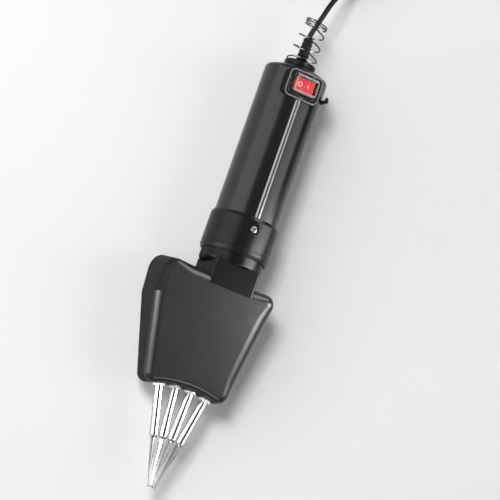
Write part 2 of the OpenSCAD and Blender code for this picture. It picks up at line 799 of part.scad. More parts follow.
pinion_shaft_s = apex_s + pinion_r - over;
module pinion_shaft() color(steel) on_axis(pinion_shaft_s)
    cylinder(d = shaft_d, h = shaft_meet - end_play - pinion_shaft_s);

module pinion_bearing() color(steel) on_axis(drive_plate_s)
    ring(pinion_bearing_d, shaft_hole_d, plate_t);

module neck_bearing() color(steel) on_axis(head_len - head_wall)
    ring(neck_bearing_d, shaft_hole_d, neck_bearing_w);

module coupling_sleeve() color(steel) on_axis(shaft_meet - coupling_len / 2)
    ring(coupling_d, shaft_d + 2 * fix_fit, coupling_len);

// Collar

module collar() color(black) difference() {
    on_axis(collar_s) rotate_extrude() difference() {
        polygon([[collar_bore / 2, 0], [collar_d / 2 - collar_drop, 0], [collar_d / 2, collar_cone],
                 [collar_d / 2, collar_len - collar_cone],
                 [collar_d / 2 - collar_drop, collar_len], [collar_bore / 2, collar_len]]);
        translate([collar_d / 2 - groove_depth, groove_at]) square([past, groove_w]);
    }
    on_axis(screw_s) rotate([90, 0, 0]) cylinder(d = collar_window_d, h = past);
}

// The collar's screw stands in its window on the barrel and ends in the motor's ring
collar_screw_depth = 11;
collar_head_t = collar_t - loose;
module collar_screw() color(steel) on_axis(screw_s) rotate([90, 0, 0]) difference() {
    translate([0, 0, barrel_d / 2]) {
        translate([0, 0, run_fit]) cylinder(d = collar_head_d, h = collar_head_t);
        translate([0, 0, -collar_screw_depth]) cylinder(d = screw_d, h = collar_screw_depth + joint);
    }
    translate([0, 0, barrel_d / 2 + collar_head_t * 0.4])
        cylinder(d = collar_socket / cos(30), h = collar_head_t, $fn = 6);
}

// Barrel and cap

module barrel() color(black) difference() {
    union() {
        on_axis(barrel_s) cylinder(d = barrel_d, h = barrel_end - barrel_s);
        wire_channel();
        hook();
    }
    on_axis(barrel_s - joint) cylinder(d = barrel_bore, h = barrel_end - barrel_s + 2 * joint);
    on_axis(screw_s) rotate([90, 0, 0]) cylinder(d = screw_d + 2 * slip, h = past);
    on_axis(box_mid) rotate([90, 0, 0])
        translate([-switch_w / 2 - slip, -switch_len / 2 - slip, 0])
            cube([switch_w + 2 * slip, switch_len + 2 * slip, past]);
}

// Raised half-round channel from the collar to the switch box
module wire_channel() {
    bead_r = (bead_w * bead_w / 4 + bead_rise * bead_rise) / 2 / bead_rise;
    on_axis(collar_end + slip) translate([0, bead_r - bead_rise - barrel_d / 2, 0])
        cylinder(r = bead_r, h = box_s - collar_end - 2 * slip);
}

// Small moulded hook beside the switch, open to the tail
hook_s = box_s + box_len / 4;
module hook() on_axis(hook_s) rotate([0, 0, hook_turn]) translate([hook_t / 2, -barrel_d / 2, 0])
    rotate([0, -90, 0]) linear_extrude(hook_t)
        polygon([[0, over], [hook_len * 0.5, -hook_rise], [hook_len * 0.75, -hook_rise],
                 [hook_len, -hook_rise * 0.75], [hook_len * 0.95, -hook_rise * 0.5],
                 [hook_len * 0.65, -hook_rise * 0.4], [hook_len * 0.45, over]]);

// The cap's spigot is notched where the switch reaches it
module rear_cap() color(black) difference() {
    on_axis(barrel_end) rotate_extrude() cap_profile();
    on_face(0) translate([-switch_w / 2 - slip, -past, -slip])
        cube([switch_w + 2 * slip, past + switch_len / 2 + slip, past]);
}

module cap_profile() {
    top_r = gland_d / 2;
    bottom_r = barrel_d / 2;
    bore_r = gland_stem_d / 2 + fix_fit;
    polygon([[bore_r, -cap_spigot], [bore_r, cap_len], [top_r, cap_len],
             [bottom_r - cap_r * 0.6, cap_r], [bottom_r - cap_r * 0.2, cap_r * 0.55],
             [bottom_r, 0], [barrel_bore / 2 - slip, 0], [barrel_bore / 2 - slip, -cap_spigot]]);
}

// Motor

motor_head_d = 1.8 * motor_screw_d;

module motor_mount() color(aluminium) difference() {
    on_axis(mount_s) ring(barrel_bore - 2 * slip, boss_d + 2 * slip, mount_t);
    on_axis(mount_s - joint) for (x = [-1, 1]) translate([x * motor_screw_r, 0, 0]) {
        cylinder(d = motor_screw_d + 2 * slip, h = past);
        cylinder(d = motor_head_d + 2 * slip, h = mount_t / 2 + joint);
    }
    on_axis(screw_s) rotate([90, 0, 0]) cylinder(d = screw_d + 2 * fix_fit, h = past);
}

module motor_screws() color(steel) on_axis(mount_s + mount_t / 2) for (x = [-1, 1])
    translate([x * motor_screw_r, 0, 0]) {
        translate([0, 0, -motor_screw_d]) cylinder(d = motor_head_d, h = motor_screw_d);
        cylinder(d = motor_screw_d, h = mount_t / 2 + can_front);
    }

module motor_can() color(steel) on_axis(motor_s) difference() {
    union() {
        cylinder(d = motor_d, h = motor_len);
        translate([0, 0, -boss_len]) cylinder(d = boss_d, h = boss_len + joint);
    }
    translate([0, 0, can_front]) cylinder(d = motor_d - 2 * can_wall, h = motor_len);
    translate([0, 0, -boss_len - joint])
        cylinder(d = motor_bearing_d + 2 * fix_fit, h = motor_bearing_w + 2 * joint);
    translate([0, 0, -boss_len]) cylinder(d = shaft_d + 2 * over, h = past);
    for (x = [-1, 1]) translate([x * motor_screw_r, 0, -joint])
        cylinder(d = motor_screw_d + 2 * fix_fit, h = can_front + 2 * joint);
}

// Half the angle of the gap between the two magnets
magnet_gap = 20;
armature_s = motor_s + (motor_len - core_len) / 2;
magnet_s = motor_s + (motor_len - magnet_len) / 2;
module motor_magnets() color(ferrite) on_axis(magnet_s) difference() {
    ring(magnet_d, magnet_d - 2 * magnet_t, magnet_len);
    for (turn = [0, 180]) rotate([0, 0, turn - magnet_gap])
        translate([0, -past, -joint]) cube([past, past, magnet_len + 2 * joint]);
}

// Copper beyond each end of the core, and the gap from there to the commutator
winding_t = 5;
winding_gap = 2;
commutator_s = armature_s + core_len + winding_t + winding_gap;
// Room round the commutator, and behind each brush
commutator_room = 1.2;
brush_room = 2;
module motor_end_bell() color(black) on_axis(bell_s) difference() {
    cylinder(d = motor_d, h = bell_len);
    translate([0, 0, -joint])
        cylinder(d = commutator_d + 2 * commutator_room, h = bell_len - motor_bearing_w);
    translate([0, 0, -joint]) cylinder(d = motor_bearing_d + 2 * fix_fit, h = bell_len + 2 * joint);
    for (turn = [0, 180]) rotate([0, 0, turn])
        translate([commutator_d / 2, -brush_w / 2 - slip, -joint])
            cube([brush_len + brush_room, brush_w + 2 * slip, brush_h + joint + slip]);
}

brush_w = 4;
brush_h = 4;
brush_len = 8;
module brushes() color(ferrite) on_axis(bell_s + slip) for (turn = [0, 180]) rotate([0, 0, turn])
    translate([commutator_d / 2 + run_fit, -brush_w / 2, 0])
        cube([brush_len, brush_w, brush_h - slip]);

module motor_bearings() color(steel) {
    on_axis(motor_s - boss_len) ring(motor_bearing_d, shaft_hole_d, motor_bearing_w);
    on_axis(bell_s + bell_len - motor_bearing_w)
        ring(motor_bearing_d, shaft_hole_d, motor_bearing_w);
}

module rotor_shaft() color(steel) on_axis(shaft_meet)
    cylinder(d = shaft_d, h = bell_s + bell_len + over - shaft_meet);

// Slots of the core: a round bore for the copper, with its middle a set depth below the rim,
// and a narrow mouth
slot_count = 5;
slot_d = core_d * 3 / 16;
slot_depth = core_d * 5 / 32;
slot_mouth = 1.6;
module armature_core() color(steel) on_axis(armature_s) difference() {
    ring(core_d, shaft_d + 2 * fix_fit, core_len);
    for (i = [0:slot_count - 1]) rotate([0, 0, i * 360 / slot_count]) {
        translate([core_d / 2 - slot_depth, 0, -joint]) {
            cylinder(d = slot_d, h = core_len + 2 * joint);
            translate([0, -slot_mouth / 2, 0]) cube([past, slot_mouth, core_len + 2 * joint]);
        }
    }
}

module armature_windings() color(copper) on_axis(armature_s) {
    for (i = [0:slot_count - 1]) rotate([0, 0, i * 360 / slot_count])
        translate([core_d / 2 - slot_depth, 0, -winding_t])
            cylinder(d = slot_d - 2 * slip, h = core_len + 2 * winding_t);
    for (z = [-winding_t, core_len + slip])
        translate([0, 0, z]) ring(core_d - slot_depth, shaft_d + 4 * over, winding_t - slip);
}

module commutator() color(copper) on_axis(commutator_s)
    ring(commutator_d, shaft_d + 2 * fix_fit, bell_s + bell_len - motor_bearing_w - 2 * end_play
         - commutator_s);

// Switch

module on_face(h) on_axis(box_mid) rotate([90, 0, 0]) translate([0, 0, h]) children();

// Height above the axis at which the box's sides meet the barrel
box_foot = barrel_d * 0.38;
module switch_box() color(black) difference() {
    union() {
        on_face(0) hull() {
            translate([0, 0, box_foot]) rounded_block(box_w + 2 * box_flare, box_len, box_r, joint);
            translate([0, 0, box_top - joint]) rounded_block(box_w, box_len, box_r, joint);
        }
        on_face(box_top - joint) difference() {
            rounded_block(box_w, box_len, box_r, ridge_t + joint);
            rounded_block(box_w - 2 * ridge_w, box_len - 2 * ridge_w, box_r - ridge_w, past);
        }
    }
    on_axis(box_s - past) cylinder(d = barrel_d + 2 * run_fit, h = 3 * past);
    on_face(-past) rounded_block(switch_w + 2 * slip, switch_len + 2 * slip, small_corner_r, 3 * past);
    on_axis(box_s - joint) translate([-past, 0, 0]) cube([2 * past, past, past]);
}

// Room that the rocker needs in bezel and body, at each tip and along each side
rocker_tip_room = 1.2;
rocker_room_w = rocker_w + 2 * rocker_tip_room;
rocker_room_len = rocker_len + 2 * loose;
rocker_room_depth = 5.5;
bezel_r = 4.6;

module switch_bezel() color(black) on_face(box_top) difference() {
    rounded_block(bezel_w, bezel_len, bezel_r, bezel_t);
    translate([0, 0, -joint]) rounded_block(rocker_room_w, rocker_room_len, corner_r, past);
}

module switch_body() color(black) on_face(box_top - switch_depth) difference() {
    rounded_block(switch_w, switch_len, small_corner_r, switch_depth);
    translate([0, 0, switch_depth - rocker_room_depth])
        rounded_block(rocker_room_w, rocker_room_len, small_corner_r, past);
    translate([0, past, switch_depth - pivot_drop]) rotate([90, 0, 0])
        cylinder(d = pivot_d + 2 * run_fit, h = 2 * past);
}

terminal_len = 7;
terminal_w = 4.8;
terminal_t = 0.8;
module switch_terminals() color(brass) on_face(box_top - switch_depth - terminal_len)
    for (x = [-1, 1]) translate([x * switch_w / 4 - terminal_w / 2, -terminal_t / 2, 0])
        cube([terminal_w, terminal_t, terminal_len]);

// The rocker tips about an axis along the tool; at rest its left side is down
pivot_drop = 2.2;
rocker_foot = 3;
rocker_skirt = 1.2;
rocker_dish = 0.7;
rocker_top = rocker_rise + pivot_drop;
module rocker() color(red) on_face(box_top - pivot_drop) rotate([90, 0, 0])
    rotate([0, 0, rocker_swing / 2]) difference() {
        union() {
            translate([-rocker_w / 2, -rocker_skirt, -rocker_len / 2])
                cube([rocker_w, rocker_top + rocker_skirt, rocker_len]);
            translate([0, 0, -rocker_len / 2]) cylinder(r = rocker_foot, h = rocker_len);
            translate([0, 0, -rocker_room_len / 2 - pivot_len])
                cylinder(d = pivot_d, h = rocker_room_len + 2 * pivot_len);
        }
        translate([0, rocker_top - rocker_dish + rocker_hollow_r, -past])
            cylinder(r = rocker_hollow_r, h = 2 * past, $fn = fine);
    }

boot_r = 2.5;
boot_rim_t = 1;
module switch_boot() color(clear) on_face(box_top + bezel_t) difference() {
    union() {
        boot_form(boot_w, boot_len, boot_r, boot_h);
        rounded_block(boot_w + 2 * boot_rim, boot_len + 2 * boot_rim, boot_r + boot_rim, boot_rim_t);
    }
    translate([0, 0, -joint])
        boot_form(boot_w - 2 * boot_wall, boot_len - 2 * boot_wall, boot_r - boot_wall,
                  boot_h - boot_wall + joint);
}

module boot_form(w, l, r, h) hull() {
    for (x = [-1, 1], y = [-1, 1]) translate([x * (w / 2 - r), y * (l / 2 - r), 0]) {
        cylinder(r = r, h = boot_rim_t, $fn = 32);
        translate([0, 0, h - r]) sphere(r, $fn = 32);
    }
}

// Tail

module cord_gland() color(black) on_axis(cap_end) rotate_extrude() {
    polygon([[0, -cap_len - cap_spigot], [gland_stem_d / 2, -cap_len - cap_spigot],
             [gland_stem_d / 2, 0], [gland_d / 2, 0], [gland_d / 2, gland_t - corner_r],
             [gland_d / 2 - corner_r, gland_t], [0, gland_t]]);
}

relief_waist = 2.4;
relief_waist_d = 5.4;
// Each rib is this much slimmer than the one before
rib_taper = 0.12;
rib_pitch = (relief_len - relief_waist) / relief_ribs;
module strain_relief() color(black) on_axis(gland_end) rotate_extrude()
    polygon([[0, 0], [relief_waist_d / 2, 0], [relief_waist_d / 2, relief_waist],
             for (i = [0:relief_ribs - 1], p = [[0.1, 0], [0.7, 0], [0.8, 1], [1, 1]])
                 [relief_d / 2 - relief_groove * p[1] - i * rib_taper,
                  relief_waist + (i + p[0]) * rib_pitch],
             [0, relief_len]]);

// Conical spring: close turns at the foot, open turns, close turns at the top. It rises with the
// cord, and its turns lean to the front
spring_turns = foot_turns + open_turns + top_turns;
open_pitch = (spring_h - spring_wire - (foot_turns + top_turns) * close_pitch) / open_turns;
spring_rings = 8;
function spring_rise(t) = close_pitch * (min(t, foot_turns) + max(0, t - foot_turns - open_turns))
    + open_pitch * min(max(t - foot_turns, 0), open_turns);
function spring_tilt(t) = spring_tip * min(max(2 * (t - foot_turns), 0), 1);
function spring_point(t) =
    let (rise = spring_rise(t),
         share = min(rise / (spring_h - spring_wire - top_turns * close_pitch), 1),
         r = (spring_foot_d + (spring_top_d - spring_foot_d) * share - spring_wire) / 2,
         y = r * sin(360 * t))
    [r * cos(360 * t), y - spring_lean * max(rise - spring_rise(foot_turns), 0),
     spring_wire / 2 + rise + spring_tilt(t) * y];
spring_coil = [for (k = [0:spring_turns * spring_rings]) spring_point(k / spring_rings)];
spring_path = [spring_coil[0] - [0, spring_wire, 0], each spring_coil,
               spring_coil[len(spring_coil) - 1]
               + spring_wire * unit(spring_coil[len(spring_coil) - 1]
                                    - spring_coil[len(spring_coil) - 2])];

module tail_spring() color(steel) on_axis(gland_end + seat_gap)
    tube(spring_path, spring_wire / 2, 6);

// Coil: where its middle is, as [x, s], and the angle at which the cord runs onto it
coil_at = [2, 366];
coil_start = -30;
coil_floor = tie_t + seat_gap + cord_d / 2;
coil_layers = 4;
coil_total = (coil_layers - 1 / 4) * layer_turns - coil_start / 360;
coil_top = coil_floor + (coil_layers - 1) * coil_pitch;
coil_entry = coil_at + coil_r * [cos(coil_start), sin(coil_start)];
entry_dir = [-sin(coil_start), cos(coil_start)];
function before_coil(d) = [each coil_entry - d * entry_dir, coil_top];

// Cord: free stretch from the strain relief to the coil, as [x, s, height over the floor]
cord_route = [[0, relief_end, axis_z], [0, relief_end + 2, axis_z], [0.2, 292.8, 27.9],
              [0.5, 296, 29.4], [1, 299.5, 31.1], [1.6, 303.3, 32.8], [2.5, 307.9, 34.1],
              [3.8, 313.5, 34.5], [5.6, 318.8, 33.7], [7.7, 323.4, 31.9], [10.1, 327.5, 29.4],
              [12.8, 331.2, 26.5], [15.6, 334.6, 23.4], [18.6, 337.8, 20.4], [21.6, 341, 18],
              before_coil(cord_d + 3), before_coil(cord_d)];

module cord() color(black) translate([off_x, off_s, 0]) tube(cord_route, cord_d / 2, 10);

// The coil winds down from its top layer, in and out by turns, and climbs in the half turn
// round each reversal
coil_rings = 24;
function layer_of(t) = floor(t / layer_turns);
function coil_radius(t) = let (u = t - layer_of(t) * layer_turns)
    layer_of(t) % 2 == 0 ? coil_r - coil_pitch * u : coil_r - coil_pitch * (layer_turns - u);
function drop_at(t, at) = min(max((t - at) * 2 + 0.5, 0), 1);
function smooth(x) = x * x * (3 - 2 * x);
function coil_drop(t) = smooth(drop_at(t, layer_turns)) + smooth(drop_at(t, 2 * layer_turns))
    + smooth(drop_at(t, 3 * layer_turns));
function coil_point(t) = let (turn = 360 * t + coil_start)
    [coil_at[0] + coil_radius(t) * cos(turn), coil_at[1] + coil_radius(t) * sin(turn),
     coil_top - coil_pitch * coil_drop(t)];
coil_exit = coil_point(coil_total);
lead = [[-4, 0], [-9, 0.2], [-13, 0.8], [-17, 1.6], [-20, plug_d / 2 - coil_floor],
        [-23, plug_d / 2 - coil_floor]];
plug_at = [coil_exit[0] + lead[len(lead) - 1][0], coil_exit[1], plug_d / 2];
coil_path = [before_coil(cord_d),
             for (k = [0:coil_total * coil_rings]) coil_point(k / coil_rings),
             for (p = lead) coil_exit + [p[0], 0, p[1]]];

module cord_coil() color(black) translate([off_x, off_s, 0]) tube(coil_path, cord_d / 2, 6);

module coil_tie() color(black) translate([off_x + coil_at[0], off_s + coil_at[1], 0]) {
    inner = coil_r - layer_turns * coil_pitch - cord_d / 2 - loose;
    outer = coil_r + cord_d / 2 + loose;
    top = coil_top + cord_d / 2 + loose;
    difference() {
        translate([-outer - tie_t, -tie_w / 2, 0])
            cube([outer - inner + 2 * tie_t, tie_w, top + tie_t]);
        translate([-outer, -tie_w, tie_t]) cube([outer - inner, 2 * tie_w, top - tie_t]);
    }
}

module on_plug(along) translate([off_x, off_s, 0] + plug_at - [along, 0, 0])
    rotate([0, -90, 0]) children();

module plug_body() color(black) on_plug(0) rotate_extrude()
    polygon([[0, 0], [cord_d / 2 + corner_r, 0], [plug_d * 0.36, plug_len * 0.42],
             [plug_d / 2 - corner_r, plug_len * 0.46], [plug_d / 2, plug_len * 0.5],
             [plug_d / 2, plug_len - corner_r], [plug_d / 2 - corner_r, plug_len], [0, plug_len]]);

module plug_sleeve() color(steel) on_plug(plug_len) ring(sleeve_d, sleeve_bore, sleeve_len);

echo(str("tail spring, least gap to itself ", self_gap(spring_path, spring_wire, spring_rings - 3)));
echo(str("cord coil, least gap to itself ", self_gap(coil_path, cord_d, coil_rings / 2)));

head_shell();
head_back_cover();
cover_screws();
bearing_plate();
drive_plate();
plate_screws();
spindle_bush(0);  // spindle_bush_1
spindle_bush(1);  // spindle_bush_2
spindle_bush(2);  // spindle_bush_3
spindle_bush(3);  // spindle_bush_4
rear_bushes();
drive_bush();
pinion_bearing();
neck_bearing();
collar();
collar_screw();
barrel();
rear_cap();
motor_mount();
motor_screws();
motor_can();
motor_magnets();
motor_end_bell();
motor_bearings();
brushes();
switch_box();
switch_bezel();
switch_body();
switch_boot();
switch_terminals();
cord_gland();
strain_relief();
tail_spring();
cord();
cord_coil();
coil_tie();
plug_body();
plug_sleeve();
rotor_shaft();
armature_core();
armature_windings();
commutator();
coupling_sleeve();
pinion_shaft();
pinion();
spindle(0, rod_end);  // spindle_1
spindle(1, drive_rod_end);  // spindle_2
spindle(2, rod_end);  // spindle_3
spindle(3, rod_end);  // spindle_4
spindle_gear(0);  // spindle_gear_1
spindle_gear(1);  // spindle_gear_2
spindle_gear(2);  // spindle_gear_3
spindle_gear(3);  // spindle_gear_4
drive_gear();
rocker();
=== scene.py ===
"""Hand-held poultry plucker, dressed for its photograph.

Sizes are in millimetres, as in the solid model. Lengths along the tool, called s, are counted
from the line of the four hexagonal flanges towards the tail; x is to the right of the motor axis
and h above it. The place functions below turn them into the frame of the solids, in metres.
"""
import json
from math import atan2, cos, pi, radians, sin, sqrt, tan

import bmesh
import bpy
from mathutils import Matrix, Vector


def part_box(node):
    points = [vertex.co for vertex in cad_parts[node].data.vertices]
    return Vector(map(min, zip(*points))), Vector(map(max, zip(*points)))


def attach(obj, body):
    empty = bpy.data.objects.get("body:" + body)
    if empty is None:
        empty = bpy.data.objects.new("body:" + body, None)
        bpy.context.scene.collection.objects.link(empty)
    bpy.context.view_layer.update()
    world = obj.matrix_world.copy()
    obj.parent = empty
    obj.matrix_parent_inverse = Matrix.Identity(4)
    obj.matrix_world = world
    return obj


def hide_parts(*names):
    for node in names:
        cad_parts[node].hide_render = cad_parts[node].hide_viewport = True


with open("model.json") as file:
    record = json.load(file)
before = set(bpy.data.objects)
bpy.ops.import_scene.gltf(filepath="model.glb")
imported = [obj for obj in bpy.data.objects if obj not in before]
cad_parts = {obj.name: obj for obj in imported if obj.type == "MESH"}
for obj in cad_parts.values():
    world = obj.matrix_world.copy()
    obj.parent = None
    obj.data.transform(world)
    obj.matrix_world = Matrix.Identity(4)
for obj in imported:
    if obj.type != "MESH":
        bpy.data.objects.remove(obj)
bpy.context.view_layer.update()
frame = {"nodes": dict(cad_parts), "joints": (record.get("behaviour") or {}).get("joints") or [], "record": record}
MM = 0.001

# Where the tool is: the meeting point of all rod axes, and the axis of motor and barrel
RODS = [joint for joint in frame["joints"] if joint["name"].startswith("rod_")]
APEX = Vector(RODS[0]["pos_m"])
FAN_R = 90.5
FLANGE_Y = APEX.y + FAN_R * MM


def at(x, s, h):
    """A point right of, along and above the motor axis."""
    return Vector((APEX.x + x * MM, FLANGE_Y + s * MM, APEX.z + h * MM))


def station(node, end):
    """Where a CAD node starts (end 0) or stops (end 1) along the tool."""
    return (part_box(node)[end][1] - FLANGE_Y) / MM


COLLAR_S, COLLAR_END = station("collar", 0), station("collar", 1)
BARREL_S, BARREL_END = station("barrel", 0), station("barrel", 1)
CAP_END = station("rear_cap", 1)
GLAND_END = station("cord_gland", 1)
RELIEF_END = station("strain_relief", 1)
BOX_S, BOX_END = station("switch_box", 0), station("switch_box", 1)
BOX_MID = (BOX_S + BOX_END) / 2

# Camera: seen from above, a little from the left and from the tips, and turned in the frame

VIEW_SIDE = radians(19)
VIEW_TIP = radians(10)
ROLL = radians(19.3)
VIEW_WIDTH = 377.3
VIEW_AIM = (10.79, 115.2)
CAMERA_DISTANCE = 2400
SENSOR = 36
FARTHEST = 100

across = Vector((cos(VIEW_SIDE), 0, sin(VIEW_SIDE)))
toward = Vector((-cos(VIEW_TIP) * sin(VIEW_SIDE), -sin(VIEW_TIP), cos(VIEW_TIP) * cos(VIEW_SIDE)))
along = toward.cross(across)
camera_right = cos(ROLL) * across + sin(ROLL) * along
camera_up = toward.cross(camera_right)
aim = at(0, 0, 0) + (VIEW_AIM[0] * across + VIEW_AIM[1] * along) * MM


def looking(position, right, up, back):
    """A world matrix from a place and three axes."""
    return Matrix.Translation(position) @ Matrix((right, up, back)).transposed().to_4x4()


def new_object(name, data):
    """A new object in the scene."""
    made = bpy.data.objects.new(name, data)
    bpy.context.scene.collection.objects.link(made)
    return made


camera_data = bpy.data.cameras.new("camera")
camera_data.sensor_width = SENSOR
camera_data.lens = SENSOR * CAMERA_DISTANCE / VIEW_WIDTH
camera_data.clip_end = FARTHEST
camera = new_object("camera", camera_data)
camera.matrix_world = looking(aim + toward * CAMERA_DISTANCE * MM, camera_right, camera_up, toward)
bpy.context.scene.camera = camera

# Materials

NOISE_LOW, NOISE_HIGH = 0.3, 0.7
CLOUD_DETAIL, GRAIN_DETAIL = 3, 4


def new_material(name):
    """An empty node material with its Principled shader, as (material, nodes, links, shader)."""
    material = bpy.data.materials.new(name)
    material.use_nodes = True
    tree = material.node_tree
    return material, tree.nodes, tree.links, tree.nodes["Principled BSDF"]


def noise(nodes, links, scale, detail, stretch=None):
    """A noise in object space, scale in cycles per metre; stretch squeezes it along an axis."""
    coordinates = nodes.new("ShaderNodeTexCoord")
    texture = nodes.new("ShaderNodeTexNoise")
    texture.inputs["Scale"].default_value = scale
    texture.inputs["Detail"].default_value = detail
    if stretch:
        mapping = nodes.new("ShaderNodeMapping")
        mapping.inputs["Scale"].default_value = stretch
        links.new(coordinates.outputs["Object"], mapping.inputs["Vector"])
        links.new(mapping.outputs["Vector"], texture.inputs["Vector"])
    else:
        links.new(coordinates.outputs["Object"], texture.inputs["Vector"])
    return texture.outputs["Fac"]


def spread(nodes, links, value, low, high):
    """A noise value mapped from its usual range to low..high."""
    remap = nodes.new("ShaderNodeMapRange")
    bounds = {"From Min": NOISE_LOW, "From Max": NOISE_HIGH, "To Min": low, "To Max": high}
    for socket, bound in bounds.items():
        remap.inputs[socket].default_value = bound
    links.new(value, remap.inputs["Value"])
    return remap.outputs["Result"]


def mottle(nodes, links, value, dark, light):
    """A colour between dark and light, led by a noise value."""
    ramp = nodes.new("ShaderNodeValToRGB")
    ramp.color_ramp.elements[0].position = NOISE_LOW
    ramp.color_ramp.elements[0].color = (*dark, 1)
    ramp.color_ramp.elements[1].position = NOISE_HIGH
    ramp.color_ramp.elements[1].color = (*light, 1)
    links.new(value, ramp.inputs["Fac"])
    return ramp.outputs["Color"]


def surface(name, color, shade, rough, cloud, grain, bump, shine=0.5, stretch=None, **sockets):
    """A material with clouded colour, varied roughness and a fine grain.

    color is the middle colour, shade how far the clouding goes to each side of it, rough the
    lowest and highest roughness, cloud and grain the noise scales, bump the grain's depth and
    shine the strength of its highlights.
    """
    material, nodes, links, shader = new_material(name)
    clouds = noise(nodes, links, cloud, CLOUD_DETAIL)
    dark = [c * (1 - shade) for c in color]
    light = [min(1, c * (1 + shade)) for c in color]
    links.new(mottle(nodes, links, clouds, dark, light), shader.inputs["Base Color"])
    fine = noise(nodes, links, grain, GRAIN_DETAIL, stretch)
    links.new(spread(nodes, links, fine, *rough), shader.inputs["Roughness"])
    relief = nodes.new("ShaderNodeBump")
    relief.inputs["Strength"].default_value = 1
    relief.inputs["Distance"].default_value = bump
    links.new(fine, relief.inputs["Height"])
    links.new(relief.outputs["Normal"], shader.inputs["Normal"])
    shader.inputs["Specular IOR Level"].default_value = shine
    for socket, value in sockets.items():
        shader.inputs[socket.replace("_", " ")].default_value = value
    return material


# Painted shade: a dark edge tint darkens the chrome's reflection at grazing angles, which draws dark outlines on
# the rods
PAINTED_GRAZE_SHADE = (0.1, 0.102, 0.106, 1)
HEAD_PLASTIC = surface(
    "head_plastic", (0.024, 0.024, 0.0245), 0.12, (0.24, 0.3), 60, 2400, 6e-6, shine=0.25)
# Painted shade: a darker, nearly unreflecting copy of the head's plastic, for its walls and upright left edge
HEAD_PAINTED_SHADE = surface(
    "head_painted_shade", (0.018, 0.018, 0.0185), 0.12, (0.5, 0.6), 60, 2400, 1e-5, shine=0.03)
NECK_PLASTIC = surface(
    "neck_plastic", (0.008, 0.008, 0.0083), 0.12, (0.2, 0.26), 60, 2400, 5e-6, shine=0.14)
BOX_PLASTIC = surface(
    "box_plastic", (0.006, 0.006, 0.0063), 0.15, (0.4, 0.5), 60, 1500, 3e-6, shine=0.06)
COLLAR_PLASTIC = surface(
    "collar_plastic", (0.01, 0.01, 0.0105), 0.15, (0.24, 0.3), 45, 1500, 3e-6, shine=0.16)
BEAD_PLASTIC = surface(
    "bead_plastic", (0.012, 0.012, 0.0125), 0.15, (0.17, 0.23), 45, 1500, 3e-6, shine=1,
    Coat_Weight=1, Coat_Roughness=0.2, Coat_IOR=2.3)
BARREL_PLASTIC = surface(
    "barrel_plastic", (0.01, 0.01, 0.0105), 0.15, (0.17, 0.23), 45, 1500, 3e-6, shine=0.4)
CHROME = surface(
    "chrome", (0.66, 0.665, 0.675), 0.03, (0.05, 0.1), 300, 1800, 1e-6, Metallic=1,
    Specular_Tint=PAINTED_GRAZE_SHADE)
FLUTED_CHROME = surface(
    "fluted_chrome", (0.3, 0.303, 0.309), 0.05, (0.14, 0.22), 300, 1800, 2e-6, Metallic=1,
    Specular_Tint=PAINTED_GRAZE_SHADE)
BUSH_ZINC = surface(
    "bush_zinc", (0.85, 0.855, 0.86), 0.04, (0.22, 0.32), 300, 1800, 2e-6, Metallic=0.4)
SCREW_STEEL = surface(
    "screw_steel", (0.3, 0.305, 0.31), 0.1, (0.2, 0.3), 300, 2600, 3e-6, Metallic=1)
STEEL = surface(
    "steel", (0.56, 0.57, 0.585), 0.08, (0.18, 0.34), 200, 2600, 4e-6, stretch=(1, 0.08, 1),
    Metallic=1)
SPRING_STEEL = surface(
    "spring_steel", (0.15, 0.152, 0.156), 0.1, (0.14, 0.28), 300, 2600, 2e-6, Metallic=1,
    Specular_Tint=(0.4, 0.4, 0.42, 1))
BRONZE = surface("bronze", (0.55, 0.37, 0.16), 0.14, (0.35, 0.5), 260, 3200, 1e-5, Metallic=1)
COPPER = surface(
    "copper", (0.6, 0.27, 0.13), 0.12, (0.22, 0.4), 260, 2600, 6e-6, stretch=(1, 0.1, 1),
    Metallic=1)
ALUMINIUM = surface(
    "aluminium", (0.62, 0.63, 0.65), 0.06, (0.28, 0.42), 200, 2600, 5e-6, stretch=(0.1, 1, 1),
    Metallic=1)
FERRITE = surface("ferrite", (0.055, 0.055, 0.06), 0.2, (0.5, 0.7), 240, 2600, 2e-5)
RUBBER = surface(
    "black_rubber", (0.008, 0.008, 0.0083), 0.18, (0.42, 0.55), 130, 3400, 1e-5, shine=0.15)
RED_PLASTIC = surface("red_plastic", (0.46, 0.022, 0.028), 0.07, (0.18, 0.26), 160, 2400, 3e-6)
MARK_PAINT = surface("mark_paint", (1, 0.6, 0.6), 0.05, (0.35, 0.45), 300, 3000, 3e-6)
CLEAR_PVC = surface(
    "clear_boot", (0.9, 0.96, 0.94), 0.03, (0.05, 0.12), 120, 900, 4e-6, Transmission_Weight=1,
    IOR=1.25, Alpha=0.4)
RIDGE_PLASTIC = surface("ridge_plastic", (0.16, 0.16, 0.163), 0.1, (0.3, 0.4), 120, 1500, 3e-6)
# Painted highlight: a pale material on the boot's rounded edges stands in for the light along its glassy edges
EDGE_HIGHLIGHT_PVC = surface(
    "boot_painted_highlight", (0.42, 0.475, 0.45), 0.05, (0.22, 0.34), 120, 900, 4e-6, Transmission_Weight=0.2,
    IOR=1.4)

# Shapes

MOST_REACH = 0.49
WELD = 1e-7
CREASE = 40
FLATS_FIRST = 100
CUT_PAST = 3


def swung(vector, angle):
    """A flat vector turned by an angle."""
    return Vector((vector.x * cos(angle) - vector.y * sin(angle),
                   vector.x * sin(angle) + vector.y * cos(angle)))


